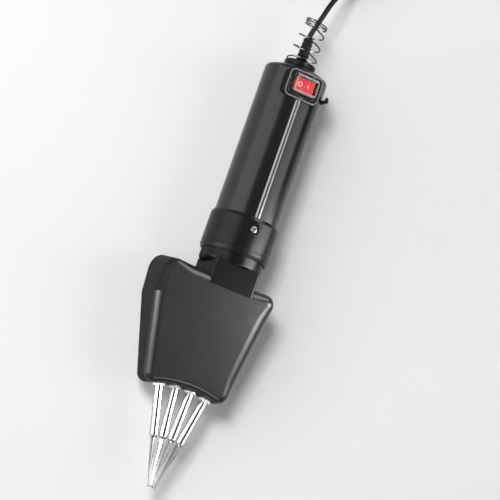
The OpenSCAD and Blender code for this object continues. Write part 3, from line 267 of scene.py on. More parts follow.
def fillet(corners, closed=False, steps=6):
    """A line through corners (a, b, rounding), each rounded corner turned into an arc."""
    line = []
    count = len(corners)
    for i, (a, b, rounding) in enumerate(corners):
        here = Vector((a, b))
        if rounding == 0 or (not closed and i in (0, count - 1)):
            line.append(here)
            continue
        before = Vector(corners[i - 1][:2]) - here
        after = Vector(corners[(i + 1) % count][:2]) - here
        half = before.angle(after) / 2
        reach = min(rounding / tan(half), before.length * MOST_REACH, after.length * MOST_REACH)
        radius = reach * tan(half)
        before.normalize()
        after.normalize()
        centre = here + (before + after).normalized() * (radius / sin(half))
        first = here + before * reach - centre
        last = here + after * reach - centre
        turn = first.angle_signed(last)
        line += [centre + swung(first, -turn * k / steps) for k in range(steps + 1)]
    return line


def circle(radius, count):
    """Points on a circle, from the top round to the right."""
    return [(radius * sin(2 * pi * k / count), radius * cos(2 * pi * k / count))
            for k in range(count)]


def rounded_rectangle(width, length, radius, steps=8):
    """A rounded rectangle about the origin."""
    w, l = width / 2, length / 2
    return fillet([(w, l, radius), (w, -l, radius), (-w, -l, radius), (-w, l, radius)], True, steps)


def weld(mesh, turn_out=True):
    """Joins doubled points of a mesh and turns its faces outward."""
    bm = bmesh.new()
    bm.from_mesh(mesh)
    bmesh.ops.remove_doubles(bm, verts=bm.verts, dist=WELD)
    if turn_out:
        bmesh.ops.recalc_face_normals(bm, faces=bm.faces)
    bm.to_mesh(mesh)
    bm.free()


def smooth(mesh, crease=CREASE):
    """Shades a mesh smooth up to an angle between faces, in degrees."""
    mesh.shade_smooth()
    mesh.set_sharp_from_angle(angle=radians(crease))


def finish_mesh(name, mesh, material, body, replaced, crease=CREASE, turn_out=True):
    """Gives a new piece its shading, material and body, and hides the CAD nodes it stands for."""
    weld(mesh, turn_out)
    smooth(mesh, crease)
    piece = new_object(name, mesh)
    piece.data.materials.append(material)
    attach(piece, body)
    if replaced:
        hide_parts(*replaced)
    return piece


def skin(rings, capped=True):
    """Vertices and faces of closed rings of equal count, joined one to the next."""
    count = len(rings[0])
    faces = []
    for i in range(len(rings) - 1):
        for k in range(count):
            m = (k + 1) % count
            faces.append((i * count + k, i * count + m, (i + 1) * count + m, (i + 1) * count + k))
    if capped:
        faces.append(tuple(range(count)))
        faces.append(tuple((len(rings) - 1) * count + k for k in reversed(range(count))))
    return [point for ring in rings for point in ring], faces


def mesh_of(name, *skins):
    """One mesh from several skins."""
    vertices, faces = [], []
    for points, polygons in skins:
        start = len(vertices)
        vertices += points
        faces += [tuple(start + i for i in polygon) for polygon in polygons]
    mesh = bpy.data.meshes.new(name)
    mesh.from_pydata(vertices, [], faces)
    return mesh


def piece_of(name, skins, material, replaced, body="housing", crease=CREASE):
    """A new piece made of one or more skins."""
    return finish_mesh(name, mesh_of(name, *skins), material, body, replaced, crease)


def two_tone(piece, material, test):
    """Gives the faces that pass a test a second material."""
    piece.data.materials.append(material)
    for face in piece.data.polygons:
        face.material_index = 1 if test(face) else 0


def turned(profile, place, count=96, radius_at=None, angles=None):
    """A skin turned about an axis from a profile of (distance along it, radius).

    place(distance, a, b) gives the point; radius_at(angle, distance, radius) may shape it.
    """
    angles = angles or [2 * pi * k / count for k in range(count)]
    rings = []
    for distance, radius in profile:
        ring = []
        for angle in angles:
            r = radius_at(angle, distance, radius) if radius_at else radius
            ring.append(place(distance, r * sin(angle), r * cos(angle)))
        rings.append(ring)
    return skin(rings)


def carve(piece, cutters):
    """Cuts closed skins out of a piece, keeps the result as its mesh and evens its shading."""
    cutter_mesh = mesh_of("cutter", *cutters)
    weld(cutter_mesh)
    cutter = new_object("cutter", cutter_mesh)
    cut = piece.modifiers.new("cut", "BOOLEAN")
    cut.operation = "DIFFERENCE"
    cut.solver = "EXACT"
    cut.object = cutter
    graph = bpy.context.evaluated_depsgraph_get()
    mesh = bpy.data.meshes.new_from_object(piece.evaluated_get(graph), depsgraph=graph)
    piece.modifiers.clear()
    piece.data = mesh
    smooth(mesh)
    even_shading(piece)
    bpy.data.objects.remove(cutter)


def even_shading(piece):
    """Lets large faces lead the shading, so that flats stay flat beside rounded edges."""
    weighted = piece.modifiers.new("even", "WEIGHTED_NORMAL")
    weighted.keep_sharp = True
    weighted.weight = FLATS_FIRST


def on_axis(s, x, h):
    """A point of a piece turned about the motor axis."""
    return at(x, s, h)


# Cord: one line from the strain relief over the floor into its coil and plug

CORD_D = 4
CORD_ROUTE = [
    (0, RELIEF_END, 27), (0, RELIEF_END + 2, 27), (0.2, 292.8, 27.9), (0.5, 296, 29.4),
    (1, 299.5, 31.1), (1.6, 303.3, 32.8), (2.5, 307.9, 34.1), (3.8, 313.5, 34.5),
    (5.6, 318.8, 33.7), (7.7, 323.4, 31.9), (10.1, 327.5, 29.4), (12.8, 331.2, 26.5),
    (15.6, 334.6, 23.4), (18.6, 337.8, 20.4), (21.6, 341, 18)]
RUN_ON = (7, 4)
COIL_AT = (2, 366)
COIL_START = radians(-30)
COIL_R = 30
COIL_PITCH = 4.5
LAYER_TURNS = 3
COIL_TURNS = 11.25 + 30 / 360
COIL_TOP = 16.3
COIL_STEPS = 48
COIL_LAYERS = 4
LEAD = [(-4, 0), (-9, 0.2), (-13, 0.8), (-17, 1.6), (-20, 2.2), (-23, 2.2)]
ROUTE_STEPS, LEAD_STEPS = 6, 4
WIRE_ROUNDING = 5


def over_floor(x, s, z):
    """A point right of and along the motor axis, at a height over the floor."""
    return Vector((APEX.x + x * MM, FLANGE_Y + s * MM, z * MM))


def eased(share):
    """A share from 0 to 1 with a smooth start and end."""
    share = min(max(share, 0), 1)
    return share * share * (3 - 2 * share)


def coil_point(turn):
    """The cord's middle after so many turns: in and out by turns, down a layer at each reversal."""
    layer = int(turn // LAYER_TURNS)
    done = turn - layer * LAYER_TURNS
    inward = done if layer % 2 == 0 else LAYER_TURNS - done
    radius = COIL_R - COIL_PITCH * inward
    drop = sum(eased((turn - k * LAYER_TURNS) * 2 + 0.5) for k in range(1, COIL_LAYERS))
    angle = 2 * pi * turn + COIL_START
    return (COIL_AT[0] + radius * cos(angle), COIL_AT[1] + radius * sin(angle),
            COIL_TOP - COIL_PITCH * drop)


def curved(points, steps):
    """A smooth line through points, with so many steps between each two."""
    points = [Vector(p) for p in points]
    line = []
    for i in range(len(points) - 1):
        p0, p1 = points[max(i - 1, 0)], points[i]
        p2, p3 = points[i + 1], points[min(i + 2, len(points) - 1)]
        for k in range(steps):
            t = k / steps
            line.append(0.5 * (2 * p1 + (p2 - p0) * t + (2 * p0 - 5 * p1 + 4 * p2 - p3) * t * t
                               + (3 * p1 - p0 - 3 * p2 + p3) * t ** 3))
    return line + [points[-1]]


def wire(name, points, diameter, material):
    """A round wire along points in metres."""
    curve = bpy.data.curves.new(name, "CURVE")
    curve.dimensions = "3D"
    curve.bevel_depth = diameter / 2 * MM
    curve.bevel_resolution = WIRE_ROUNDING
    curve.use_fill_caps = True
    spline = curve.splines.new("POLY")
    spline.points.add(len(points) - 1)
    for point, place in zip(spline.points, points):
        point.co = (*place, 1)
    spline.use_smooth = True
    piece = new_object(name, curve)
    piece.data.materials.append(material)
    return piece


coil = [coil_point(k / COIL_STEPS) for k in range(1, int(COIL_TURNS * COIL_STEPS) + 1)]
coil_exit = coil[-1]
coil_entry = Vector(coil_point(0))
entry_dir = Vector((-sin(COIL_START), cos(COIL_START), 0))
run_on = [coil_entry - distance * entry_dir for distance in RUN_ON]
lead = [coil_exit] + [(coil_exit[0] + dx, coil_exit[1], coil_exit[2] + dz) for dx, dz in LEAD]
cord_line = (curved(CORD_ROUTE + run_on + [coil_entry], ROUTE_STEPS) + [Vector(p) for p in coil]
             + curved(lead, LEAD_STEPS)[1:])
cord = wire("cord_line", [over_floor(*p) for p in cord_line], CORD_D, RUBBER)
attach(cord, "housing")
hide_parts("cord", "cord_coil")

# Tail spring: close turns at the foot, open turns, close turns at the top

SPRING_WIRE = 1.2
SPRING_S, SPRING_H = GLAND_END + 0.2, 34
SPRING_FOOT_D, SPRING_TOP_D = 24, 18
FOOT_TURNS, OPEN_TURNS, TOP_TURNS = 0.5, 3, 2.25
CLOSE_PITCH = 1.7
SPRING_TIP, SPRING_LEAN = 0.46, 0.2
SPRING_STEPS = 48
open_pitch = (SPRING_H - SPRING_WIRE - (FOOT_TURNS + TOP_TURNS) * CLOSE_PITCH) / OPEN_TURNS


def spring_rise(turn):
    """Height of the wire's middle above the spring's foot, less half the wire."""
    close = min(turn, FOOT_TURNS) + max(0, turn - FOOT_TURNS - OPEN_TURNS)
    return CLOSE_PITCH * close + open_pitch * min(max(turn - FOOT_TURNS, 0), OPEN_TURNS)


def spring_point(turn):
    """The wire's middle after so many turns; the turns tip forward and their middle rises."""
    rise = spring_rise(turn)
    share = min(rise / (SPRING_H - SPRING_WIRE - TOP_TURNS * CLOSE_PITCH), 1)
    radius = (SPRING_FOOT_D + (SPRING_TOP_D - SPRING_FOOT_D) * share - SPRING_WIRE) / 2
    angle = 2 * pi * turn
    up = -radius * sin(angle)
    tip = SPRING_TIP * min(max(2 * (turn - FOOT_TURNS), 0), 1)
    lift = SPRING_LEAN * max(rise - spring_rise(FOOT_TURNS), 0)
    return at(radius * cos(angle), SPRING_S + SPRING_WIRE / 2 + rise - tip * up, up + lift)


spring_turns = FOOT_TURNS + OPEN_TURNS + TOP_TURNS
spring = wire("spring_wire", [spring_point(k / SPRING_STEPS)
                              for k in range(int(spring_turns * SPRING_STEPS) + 1)],
              SPRING_WIRE, SPRING_STEEL)
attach(spring, "housing")
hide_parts("tail_spring")

# Head: a wedge with rounded edges, rounded lobes and a hollow front, in two halves

HEAD_LEN = 87.3
LEFT_INSET = 1
HEAD_LEFT = (APEX.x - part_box("head_shell")[0][0]) / MM - LEFT_INSET
HEAD_RIGHT = (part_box("head_shell")[1][0] - APEX.x) / MM
LEFT_STRAIGHT = 28.3
LEFT_TAPER = radians(14.8)
RIGHT_TAPER = radians(5.8)
FRONT_HALF = 12.9
WEDGE = radians(6.9)
HEAD_WALL = 2.5
EDGE_R, FRONT_EDGE_R, WIDE_EDGE_R = 7, 5, 9.5
WIDE_EDGE_RUN = 12
REAR_LEFT_R, REAR_RIGHT_R, LEFT_BEND_R = 9, 8, 12
REAR_LEFT_EDGE_R = 5
REAR_DRAFT = 4.5
LEFT_LOBE_R, RIGHT_LOBE_R = 7.2, 8.5
COVER_T = 5
COVER_STOP = 9
SEAM_GAP = 0.3
ARC_STEPS = 14
FRONT_STEPS = 40
EDGE_STEPS = 10
# Painted shade: a darker, matte copy of the head's plastic goes on walls that lean less than this from upright,
# and on the head's upright left edge
WALL_LEAN, EDGE_LEAN = 0.17, 0.42


def half_thickness(s):
    """Half the head's thickness at a station."""
    return FRONT_HALF + s * tan(WEDGE)


def arc(centre, radius, start, end, steps, hollow=False):
    """Points of an arc with their outward normals, from one direction to another."""
    turn = atan2(start.x * end.y - start.y * end.x, start.dot(end))
    radials = [swung(start, turn * k / steps) for k in range(steps + 1)]
    return [(centre + radial * radius, -radial if hollow else radial) for radial in radials]


def corner_arc(corner, normal_1, normal_2, radius):
    """The rounding of a corner between two walls with the given outward normals."""
    centre = Vector(corner) - (normal_1 + normal_2) / (1 + normal_1.dot(normal_2)) * radius
    return arc(centre, radius, normal_1, normal_2, ARC_STEPS)


def lobe_centre(wall_point, normal, radius):
    """Middle of the rounding between a side wall and the hollow front."""
    rear = Vector((abs(normal.y) if normal.x > 0 else -abs(normal.y), abs(normal.x)))
    start = Vector(wall_point) - normal * radius - front_middle
    b = start.dot(rear)
    c = start.length_squared - (FAN_R + radius) ** 2
    return front_middle + start + rear * (sqrt(b * b - c) - b)


front_middle = Vector((0, -FAN_R))
rear_normal = Vector((0, 1))
left_normal = Vector((-1, 0))
slant_normal = Vector((-cos(LEFT_TAPER), -sin(LEFT_TAPER)))
right_normal = Vector((cos(RIGHT_TAPER), -sin(RIGHT_TAPER)))
left_bend = (-HEAD_LEFT, HEAD_LEN - LEFT_STRAIGHT)
rear_right = (HEAD_RIGHT, HEAD_LEN)
left_lobe = lobe_centre(left_bend, slant_normal, LEFT_LOBE_R)
right_lobe = lobe_centre(rear_right, right_normal, RIGHT_LOBE_R)
left_way = (front_middle - left_lobe).normalized()
right_way = (front_middle - right_lobe).normalized()
rear_right_arc = corner_arc(rear_right, right_normal, rear_normal, REAR_RIGHT_R)
right_lobe_arc = arc(right_lobe, RIGHT_LOBE_R, right_way, right_normal, ARC_STEPS)
right_run = (rear_right_arc[0][0] - right_lobe_arc[-1][0]).normalized() * WIDE_EDGE_RUN
rear_left_arc = corner_arc((-HEAD_LEFT, HEAD_LEN), rear_normal, left_normal, REAR_LEFT_R)
rear_run = Vector((WIDE_EDGE_RUN, 0))
head_outline = [(p, n, EDGE_R) for p, n in rear_right_arc]
head_outline += [(rear_right_arc[-1][0] - rear_run, rear_normal, WIDE_EDGE_R),
                 (rear_left_arc[0][0] + rear_run, rear_normal, WIDE_EDGE_R)]
head_outline += [(p, n, REAR_LEFT_EDGE_R) for p, n in rear_left_arc]
head_outline += [(p, n, EDGE_R) for p, n in
                 corner_arc(left_bend, left_normal, slant_normal, LEFT_BEND_R)]
edge_change = [EDGE_R + (FRONT_EDGE_R - EDGE_R) * k / ARC_STEPS for k in range(ARC_STEPS + 1)]
head_outline += [(p, n, r) for (p, n), r in
                 zip(arc(left_lobe, LEFT_LOBE_R, slant_normal, left_way, ARC_STEPS), edge_change)]
head_outline += [(p, n, FRONT_EDGE_R) for p, n in
                 arc(front_middle, FAN_R, -left_way, -right_way, FRONT_STEPS, True)[1:-1]]
head_outline += [(p, n, r) for (p, n), r in zip(right_lobe_arc, reversed(edge_change))]
head_outline += [(right_lobe_arc[-1][0] + right_run, right_normal, WIDE_EDGE_R),
                 (rear_right_arc[0][0] - right_run, right_normal, WIDE_EDGE_R)]


def head_ring(angle, side):
    """One ring round the head: angle 0 on the side walls, a quarter turn on the flat face.

    side is 1 above the axis and -1 below it, where the draft moves the rear wall out.
    """
    ring = []
    draft = REAR_DRAFT if side < 0 else 0
    for point, normal, radius in head_outline:
        p = point - normal * radius * (1 - cos(angle)) + Vector((0, max(0, normal.y) * draft))
        h = half_thickness(p.y) - radius * (1 - sin(angle))
        ring.append(at(p.x, p.y, side * h))
    return ring


quarter = [pi / 2 * k / EDGE_STEPS for k in range(EDGE_STEPS + 1)]
head_form = skin([head_ring(a, 1) for a in reversed(quarter)] + [head_ring(a, -1) for a in quarter])
seam_normal = Vector((0, sin(WEDGE), cos(WEDGE)))
seam_point = at(0, 0, COVER_T / cos(WEDGE) - FRONT_HALF)
cover_edge = at(0, HEAD_LEN - COVER_STOP, 0)
bend_y = at(*left_bend, 0).y


def on_wall(face):
    """Whether a face stands nearly upright."""
    return abs(face.normal.z) < WALL_LEAN


def gets_head_painted_shade(face):
    """Whether a face of the head gets painted shade: on a wall or on the upright left edge."""
    return on_wall(face) or (face.normal.x < -EDGE_LEAN and face.center.y > bend_y)


def head_half(name, is_cover, replaced):
    """The part of the head's form on one side of the seam, as a wall of the right thickness."""
    mesh = mesh_of(name, head_form)
    shift = SEAM_GAP / 2 * MM * (-1 if is_cover else 1)
    cuts = [(seam_point + seam_normal * shift, seam_normal),
            (cover_edge + Vector((0, shift, 0)), Vector((0, 1, 0)))]
    bm = bmesh.new()
    bm.from_mesh(mesh)
    bmesh.ops.recalc_face_normals(bm, faces=bm.faces)
    for point, normal in cuts:
        bmesh.ops.bisect_plane(bm, geom=bm.verts[:] + bm.edges[:] + bm.faces[:], dist=WELD,
                               plane_co=point, plane_no=normal)
    unwanted = [face for face in bm.faces
                if all((face.calc_center_median() - point).dot(normal) < 0
                       for point, normal in cuts) != is_cover]
    bmesh.ops.delete(bm, geom=unwanted, context="FACES")
    bm.to_mesh(mesh)
    bm.free()
    piece = finish_mesh(name, mesh, HEAD_PLASTIC, "housing", replaced,
                        turn_out=False)
    # Painted shade: the walls and the upright left edge take the darker, matte copy of the plastic
    two_tone(piece, HEAD_PAINTED_SHADE, gets_head_painted_shade)
    wall = piece.modifiers.new("wall", "SOLIDIFY")
    wall.thickness = HEAD_WALL * MM
    wall.offset = -1
    return piece


head_shell = head_half("head_front", False, ["head_shell"])
head_cover = head_half("head_cover", True, ["head_back_cover"])

# Sunk seats of the cover's screws
SCREW_SEAT_D, SCREW_SEAT_DEPTH = 5.7, 2.1
COVER_SCREWS = [(-48.72, 73.8), (31.72, 73.8), (-42.12, 34.05), (27.68, 34.05)]
back_normal = Vector((0, -sin(WEDGE), -cos(WEDGE)))
back_along = Vector((0, cos(WEDGE), -sin(WEDGE)))


def on_back(x, s):
    """A place function for pieces turned about a normal of the back cover, sunk from its face."""
    foot = at(x, s, -half_thickness(s))

    def place(depth, a, b):
        return foot + (Vector((a, 0, 0)) + back_along * b - back_normal * depth) * MM
    return place


carve(head_cover, [turned([(-CUT_PAST, SCREW_SEAT_D / 2), (SCREW_SEAT_DEPTH, SCREW_SEAT_D / 2)],
                          on_back(x, s), 48) for x, s in COVER_SCREWS])
even_shading(head_shell)

# Neck: a flat block, and the round spigot with its rounded front edge before the collar

NECK_W, NECK_H, NECK_R = 37, 45.5, 2
NECK_SUNK, NECK_LAP = EDGE_R + 1, 2
SPIGOT_SHOW, SPIGOT_HIDDEN = 9, 8
SPIGOT_R, SPIGOT_EDGE_R, SPIGOT_BORE_R = 24.8, 2.4, 10
spigot_s = COLLAR_S - SPIGOT_SHOW
neck_block = skin([[at(a, s, b) for a, b in rounded_rectangle(NECK_W, NECK_H, NECK_R, 12)]
                   for s in (HEAD_LEN - NECK_SUNK, spigot_s + NECK_LAP)])
spigot = turned(fillet([(spigot_s, SPIGOT_BORE_R, 0), (spigot_s, SPIGOT_R, SPIGOT_EDGE_R),
                        (COLLAR_S + SPIGOT_HIDDEN, SPIGOT_R, 0)], steps=10), on_axis, 128)
neck = piece_of("head_neck", [neck_block, spigot], NECK_PLASTIC, ["head_shell"])
# Painted shade: the neck's upright walls take the head's darker, matte copy of the plastic
two_tone(neck, HEAD_PAINTED_SHADE, on_wall)
even_shading(neck)

# Collar with end cones, a groove and a window for its screw

BARREL_R = 25
COLLAR_R = 27
COLLAR_CONE, COLLAR_DROP = 2.6, 1
COLLAR_FIT, COLLAR_LIP = 0.15, 4
GROOVE_AT, GROOVE_W, GROOVE_DEPTH = 5, 0.8, 0.5
BORE_EDGE, COLLAR_EDGE, CONE_EDGE, GROOVE_EDGE = 0.2, 0.5, 0.8, 0.15
COLLAR_SCREW_S = COLLAR_END - 9.4
WINDOW_D = 8
WINDOW_EDGE = 0.5
collar_bore_r = BARREL_R + COLLAR_FIT
groove_s = COLLAR_S + GROOVE_AT
groove_end = groove_s + GROOVE_W
collar_profile = fillet([
    (COLLAR_S + COLLAR_LIP, collar_bore_r, 0), (COLLAR_S, collar_bore_r, BORE_EDGE),
    (COLLAR_S, COLLAR_R - COLLAR_DROP, COLLAR_EDGE), (COLLAR_S + COLLAR_CONE, COLLAR_R, CONE_EDGE),
    (groove_s, COLLAR_R, GROOVE_EDGE), (groove_s, COLLAR_R - GROOVE_DEPTH, GROOVE_EDGE),
    (groove_end, COLLAR_R - GROOVE_DEPTH, GROOVE_EDGE), (groove_end, COLLAR_R, GROOVE_EDGE),
    (COLLAR_END - COLLAR_CONE, COLLAR_R, CONE_EDGE),
    (COLLAR_END, COLLAR_R - COLLAR_DROP, COLLAR_EDGE), (COLLAR_END, collar_bore_r, BORE_EDGE),
    (COLLAR_END - COLLAR_LIP, collar_bore_r, 0)], steps=4)
collar = piece_of("collar_ring", [turned(collar_profile, on_axis, 192)], COLLAR_PLASTIC,
                  ["collar"])


def on_top(s):
    """A place function for pieces turned about an upright axis over a station."""
    return lambda h, a, b: at(a, s + b, h)


carve(collar, [turned([(BARREL_R - CUT_PAST, WINDOW_D / 2), (COLLAR_R - WINDOW_EDGE, WINDOW_D / 2),
                       (COLLAR_R + CUT_PAST, WINDOW_D / 2 + WINDOW_EDGE + CUT_PAST)],
                      on_top(COLLAR_SCREW_S), 64)])

# Collar screw: a socket head in the window

SCREW_R, SCREW_DEPTH = 1.45, 2
SCREW_HEAD_R, SCREW_HEAD_T = 2.5, 1.7
SCREW_SEAT = 0.05
SOCKET_AF, SOCKET_FLOOR = 2.5, 0.6
POINT_R = 0.02
screw_foot, screw_seat = BARREL_R - SCREW_DEPTH, BARREL_R + SCREW_SEAT
screw_top = BARREL_R + SCREW_HEAD_T
screw_profile = fillet([
    (screw_foot, POINT_R, 0), (screw_foot, SCREW_R, 0), (screw_seat, SCREW_R, 0),
    (screw_seat, SCREW_HEAD_R, 0.15), (screw_top, SCREW_HEAD_R, 0.35),
    (screw_top, POINT_R, 0)], steps=4)
collar_screw = piece_of("collar_socket_screw", [turned(screw_profile, on_top(COLLAR_SCREW_S), 64)],
                        SCREW_STEEL, ["collar_screw"])
socket_corner = SOCKET_AF / sqrt(3)
carve(collar_screw, [turned([(BARREL_R + SOCKET_FLOOR, socket_corner),
                             (screw_top + CUT_PAST, socket_corner)], on_top(COLLAR_SCREW_S), 6)])

# Barrel with its raised wire channel and the small hook beside the switch

BEAD_W, BEAD_RISE = 4.4, 1.3
BEAD_R = (BEAD_W ** 2 / 4 + BEAD_RISE ** 2) / 2 / BEAD_RISE
HOOK_TURN = radians(64)
HOOK_S = BOX_S + 5.5
HOOK_RISE, HOOK_LEN, HOOK_T, HOOK_SUNK = 5.2, 8, 3.6, 1
HOOK_EDGE = [(0.78, 0), (0.92, 0.15), (1, 0.5)]
BEAD_ARC, BEAD_STEP = 7, 0.5
WALL_ARC, WALL_STEP = 9, 2.25
BEAD_STOP = 0.01
BARREL_CREASE = 30


def bead_radius(angle, s, radius):
    """The barrel's radius with the half-round channel along its top."""
    middle = BARREL_R + BEAD_RISE - BEAD_R
    reach = BEAD_R ** 2 - (middle * sin(angle)) ** 2
    if s < COLLAR_END or s > BOX_MID or reach < 0 or cos(angle) < 0:
        return radius
    return max(radius, middle * cos(angle) + sqrt(reach))


bead_count = round(2 * BEAD_ARC / BEAD_STEP) + 1
wall_count = round((360 - 2 * WALL_ARC) / WALL_STEP) + 1
barrel_angles = ([radians(-BEAD_ARC + BEAD_STEP * k) for k in range(bead_count)]
                 + [radians(WALL_ARC + WALL_STEP * k) for k in range(wall_count)])
barrel_profile = [(s, BARREL_R) for s in (BARREL_S, COLLAR_END - BEAD_STOP, COLLAR_END,
                                          BOX_MID, BOX_MID + BEAD_STOP, BARREL_END)]
hook_line = fillet([
    (0, -HOOK_SUNK, 0), (HOOK_LEN * 0.5, HOOK_RISE, 1), (HOOK_LEN * 0.75, HOOK_RISE, 1),
    (HOOK_LEN, HOOK_RISE * 0.75, 0.4), (HOOK_LEN * 0.95, HOOK_RISE * 0.5, 0.4),
    (HOOK_LEN * 0.65, HOOK_RISE * 0.4, 0.5), (HOOK_LEN * 0.45, -HOOK_SUNK, 0)], True, 5)
hook_middle = sum(hook_line, Vector((0, 0))) / len(hook_line)
hook_side = Vector((cos(HOOK_TURN), 0, -sin(HOOK_TURN)))
hook_out = Vector((sin(HOOK_TURN), 0, cos(HOOK_TURN)))


def hook_ring(side, shrink):
    """The hook's outline at a distance to the side of its middle, drawn in by shrink."""
    ring = []
    for p in hook_line:
        q = p + (hook_middle - p).normalized() * shrink
        ring.append(at(0, HOOK_S + q.x, 0) + (hook_out * (BARREL_R + q.y) + hook_side * side) * MM)
    return ring


def on_bead(face):
    """Whether a face of the barrel belongs to the channel on its top."""
    on_top_strip = abs(face.center.x - APEX.x) < BEAD_W / 2 * MM and face.normal.z > 0
    return on_top_strip and face.center.y > at(0, COLLAR_END, 0).y


hook = skin([hook_ring(-side * HOOK_T / 2, shrink) for side, shrink in reversed(HOOK_EDGE)]
            + [hook_ring(side * HOOK_T / 2, shrink) for side, shrink in HOOK_EDGE])
tube = turned(barrel_profile, on_axis, angles=barrel_angles, radius_at=bead_radius)
barrel = piece_of("barrel_tube", [tube, hook], BARREL_PLASTIC, ["barrel"],
                  crease=BARREL_CREASE)
two_tone(barrel, BEAD_PLASTIC, on_bead)
even_shading(barrel)

# Rear cap, gland and strain relief

CAP_DEPTH, CAP_WALL, CAP_SHOULDER = 3, 2.4, 2.4
CAP_DROP, CAP_ROUND, CAP_BORE_R = 0.7, 2.6, 3
GLAND_R, GLAND_BEVEL, GLAND_DISH = 12.5, 0.6, 0.4
GLAND_HUB_R, GLAND_SUNK, GLAND_RIM = 4.5, 2, 3
cap_profile = fillet([
    (BARREL_END - CAP_DEPTH, BARREL_R - CAP_WALL, 0), (BARREL_END, BARREL_R - CAP_WALL, 0),
    (BARREL_END, BARREL_R, 0.25), (BARREL_END + CAP_SHOULDER, BARREL_R - CAP_DROP, CAP_ROUND),
    (CAP_END, GLAND_R + 1.5, 1), (CAP_END, CAP_BORE_R, 0)], steps=10)
piece_of("rear_dome", [turned(cap_profile, on_axis, 160)], BARREL_PLASTIC, ["rear_cap"])
gland_profile = fillet([
    (CAP_END - GLAND_SUNK, GLAND_HUB_R, 0), (CAP_END, GLAND_HUB_R, 0),
    (CAP_END, GLAND_R - GLAND_BEVEL, 0.2), (CAP_END + 2 * GLAND_BEVEL, GLAND_R, 0.4),
    (GLAND_END, GLAND_R, 0.9), (GLAND_END - GLAND_DISH, GLAND_R - GLAND_RIM, 0.4),
    (GLAND_END - GLAND_DISH, 1, 0)], steps=5)
piece_of("gland_disc", [turned(gland_profile, on_axis, 128)], NECK_PLASTIC, ["cord_gland"])

RELIEF_D, RELIEF_SUNK = 9, 0.6
RELIEF_WAIST, RELIEF_WAIST_D = 2.4, 5.4
RELIEF_RIBS, RELIEF_GROOVE, RIB_TAPER = 6, 0.7, 0.12
RIB_START, RIB_STOP, RIB_FOOT = 0.1, 0.68, 0.8
RIB_EDGE, GROOVE_FLOOR_EDGE = 0.3, 0.2
CORD_FIT = 0.05
RUBBER_CREASE = 60
ribs_s = GLAND_END + RELIEF_WAIST
rib_pitch = (RELIEF_END - ribs_s) / RELIEF_RIBS
relief_corners = [(GLAND_END - RELIEF_SUNK, RELIEF_WAIST_D / 2, 0),
                  (ribs_s, RELIEF_WAIST_D / 2, RIB_EDGE)]
for rib in range(RELIEF_RIBS):
    start = ribs_s + rib * rib_pitch
    radius = RELIEF_D / 2 - rib * RIB_TAPER
    relief_corners += [(start + RIB_START * rib_pitch, radius, RIB_EDGE),
                       (start + RIB_STOP * rib_pitch, radius, RIB_EDGE),
                       (start + RIB_FOOT * rib_pitch, radius - RELIEF_GROOVE, GROOVE_FLOOR_EDGE),
                       (start + rib_pitch, radius - RELIEF_GROOVE, GROOVE_FLOOR_EDGE)]
relief_corners.append((RELIEF_END, CORD_D / 2 + CORD_FIT, 0))
piece_of("relief_ribs", [turned(fillet(relief_corners, steps=4), on_axis, 64)], RUBBER,
         ["strain_relief"], crease=RUBBER_CREASE)

# Switch: box with a raised rim, bezel, clear boot, and the red rocker with its two marks

BOX_W, BOX_FLARE, BOX_FOOT, BOX_SUNK = 28.4, 1.8, 19, 4
BOX_TOP, BOX_BRIM = 26, 1
BOX_R = 4.5
RIDGE_T, RIDGE_W, RIDGE_R, RIDGE_LEAN = 0.7, 1.1, 0.45, 0.3
BEZEL_W, BEZEL_LEN, BEZEL_T, BEZEL_R, BEZEL_EDGE = 24.4, 18, 0.9, 4.6, 0.6
ROOM_W, ROOM_LEN, ROOM_R, ROOM_EDGE, ROOM_DEPTH = 17.8, 11.2, 0.8, 0.3, 4
BOOT_W, BOOT_LEN, BOOT_R, BOOT_STEPS = 20, 14, 2.5, 8
BOOT_RIM, BOOT_RIM_T, BOOT_WALL, BOOT_H = 1.9, 1, 0.7, 6
RIM_EDGE, RIM_BEVEL, RIM_FALL = 0.35, (0.12, 0.1), 0.05
BOOT_TRIM = 0.1
LEAST_R = 0.05
# Painted highlight: the boot's rounded edges, apart from the far left one, take a pale material in place of the
# light along their glassy edges: their height over the rim and the bounds of their normals
HIGHLIGHT_FROM = 0.06
HIGHLIGHT_LOW, HIGHLIGHT_HIGH, HIGHLIGHT_LEFT = 0.02, 0.93, -0.5
box_len = BOX_END - BOX_S


def face_ring(width, length, radius, h, steps=8):
    """A rounded rectangle over the middle of the switch, at a height above the axis."""
    return [at(a, BOX_MID + b, h) for a, b in rounded_rectangle(width, length, radius, steps)]


def inset_rings(width, length, radius, steps):
    """Rings of one outline drawn in by the given steps (inset, height)."""
    return [face_ring(width - 2 * inset, length - 2 * inset, max(radius - inset, LEAST_R), h)
            for inset, h in steps]


def edge_steps(radius, inset, h, count=5):
    """Steps of a rounded outer edge that ends on a flat at that height."""
    return [(inset + radius * (1 - cos(pi / 2 * k / count)),
             h - radius * (1 - sin(pi / 2 * k / count))) for k in range(count + 1)]


ridge_top = BOX_TOP + RIDGE_T
ridge_steps = edge_steps(RIDGE_R, 0, ridge_top)
box_steps = (ridge_steps + [(RIDGE_W - inset, h) for inset, h in reversed(ridge_steps)]
             + [(RIDGE_W, BOX_TOP)])
box_rings = [face_ring(BOX_W + 2 * flare, box_len, BOX_R, h) for flare, h in
             ((BOX_FLARE, BOX_FOOT - BOX_SUNK), (BOX_FLARE, BOX_FOOT), (0, BOX_TOP - BOX_BRIM))]
box_rings += inset_rings(BOX_W, box_len, BOX_R, box_steps)
switch_box = piece_of("switch_housing", [skin(box_rings)], BOX_PLASTIC, ["switch_box"])
ridge_foot = at(0, 0, BOX_TOP + RIDGE_T / 2).z
two_tone(switch_box, RIDGE_PLASTIC,
         lambda face: face.center.z > ridge_foot and face.normal.z > RIDGE_LEAN)
even_shading(switch_box)

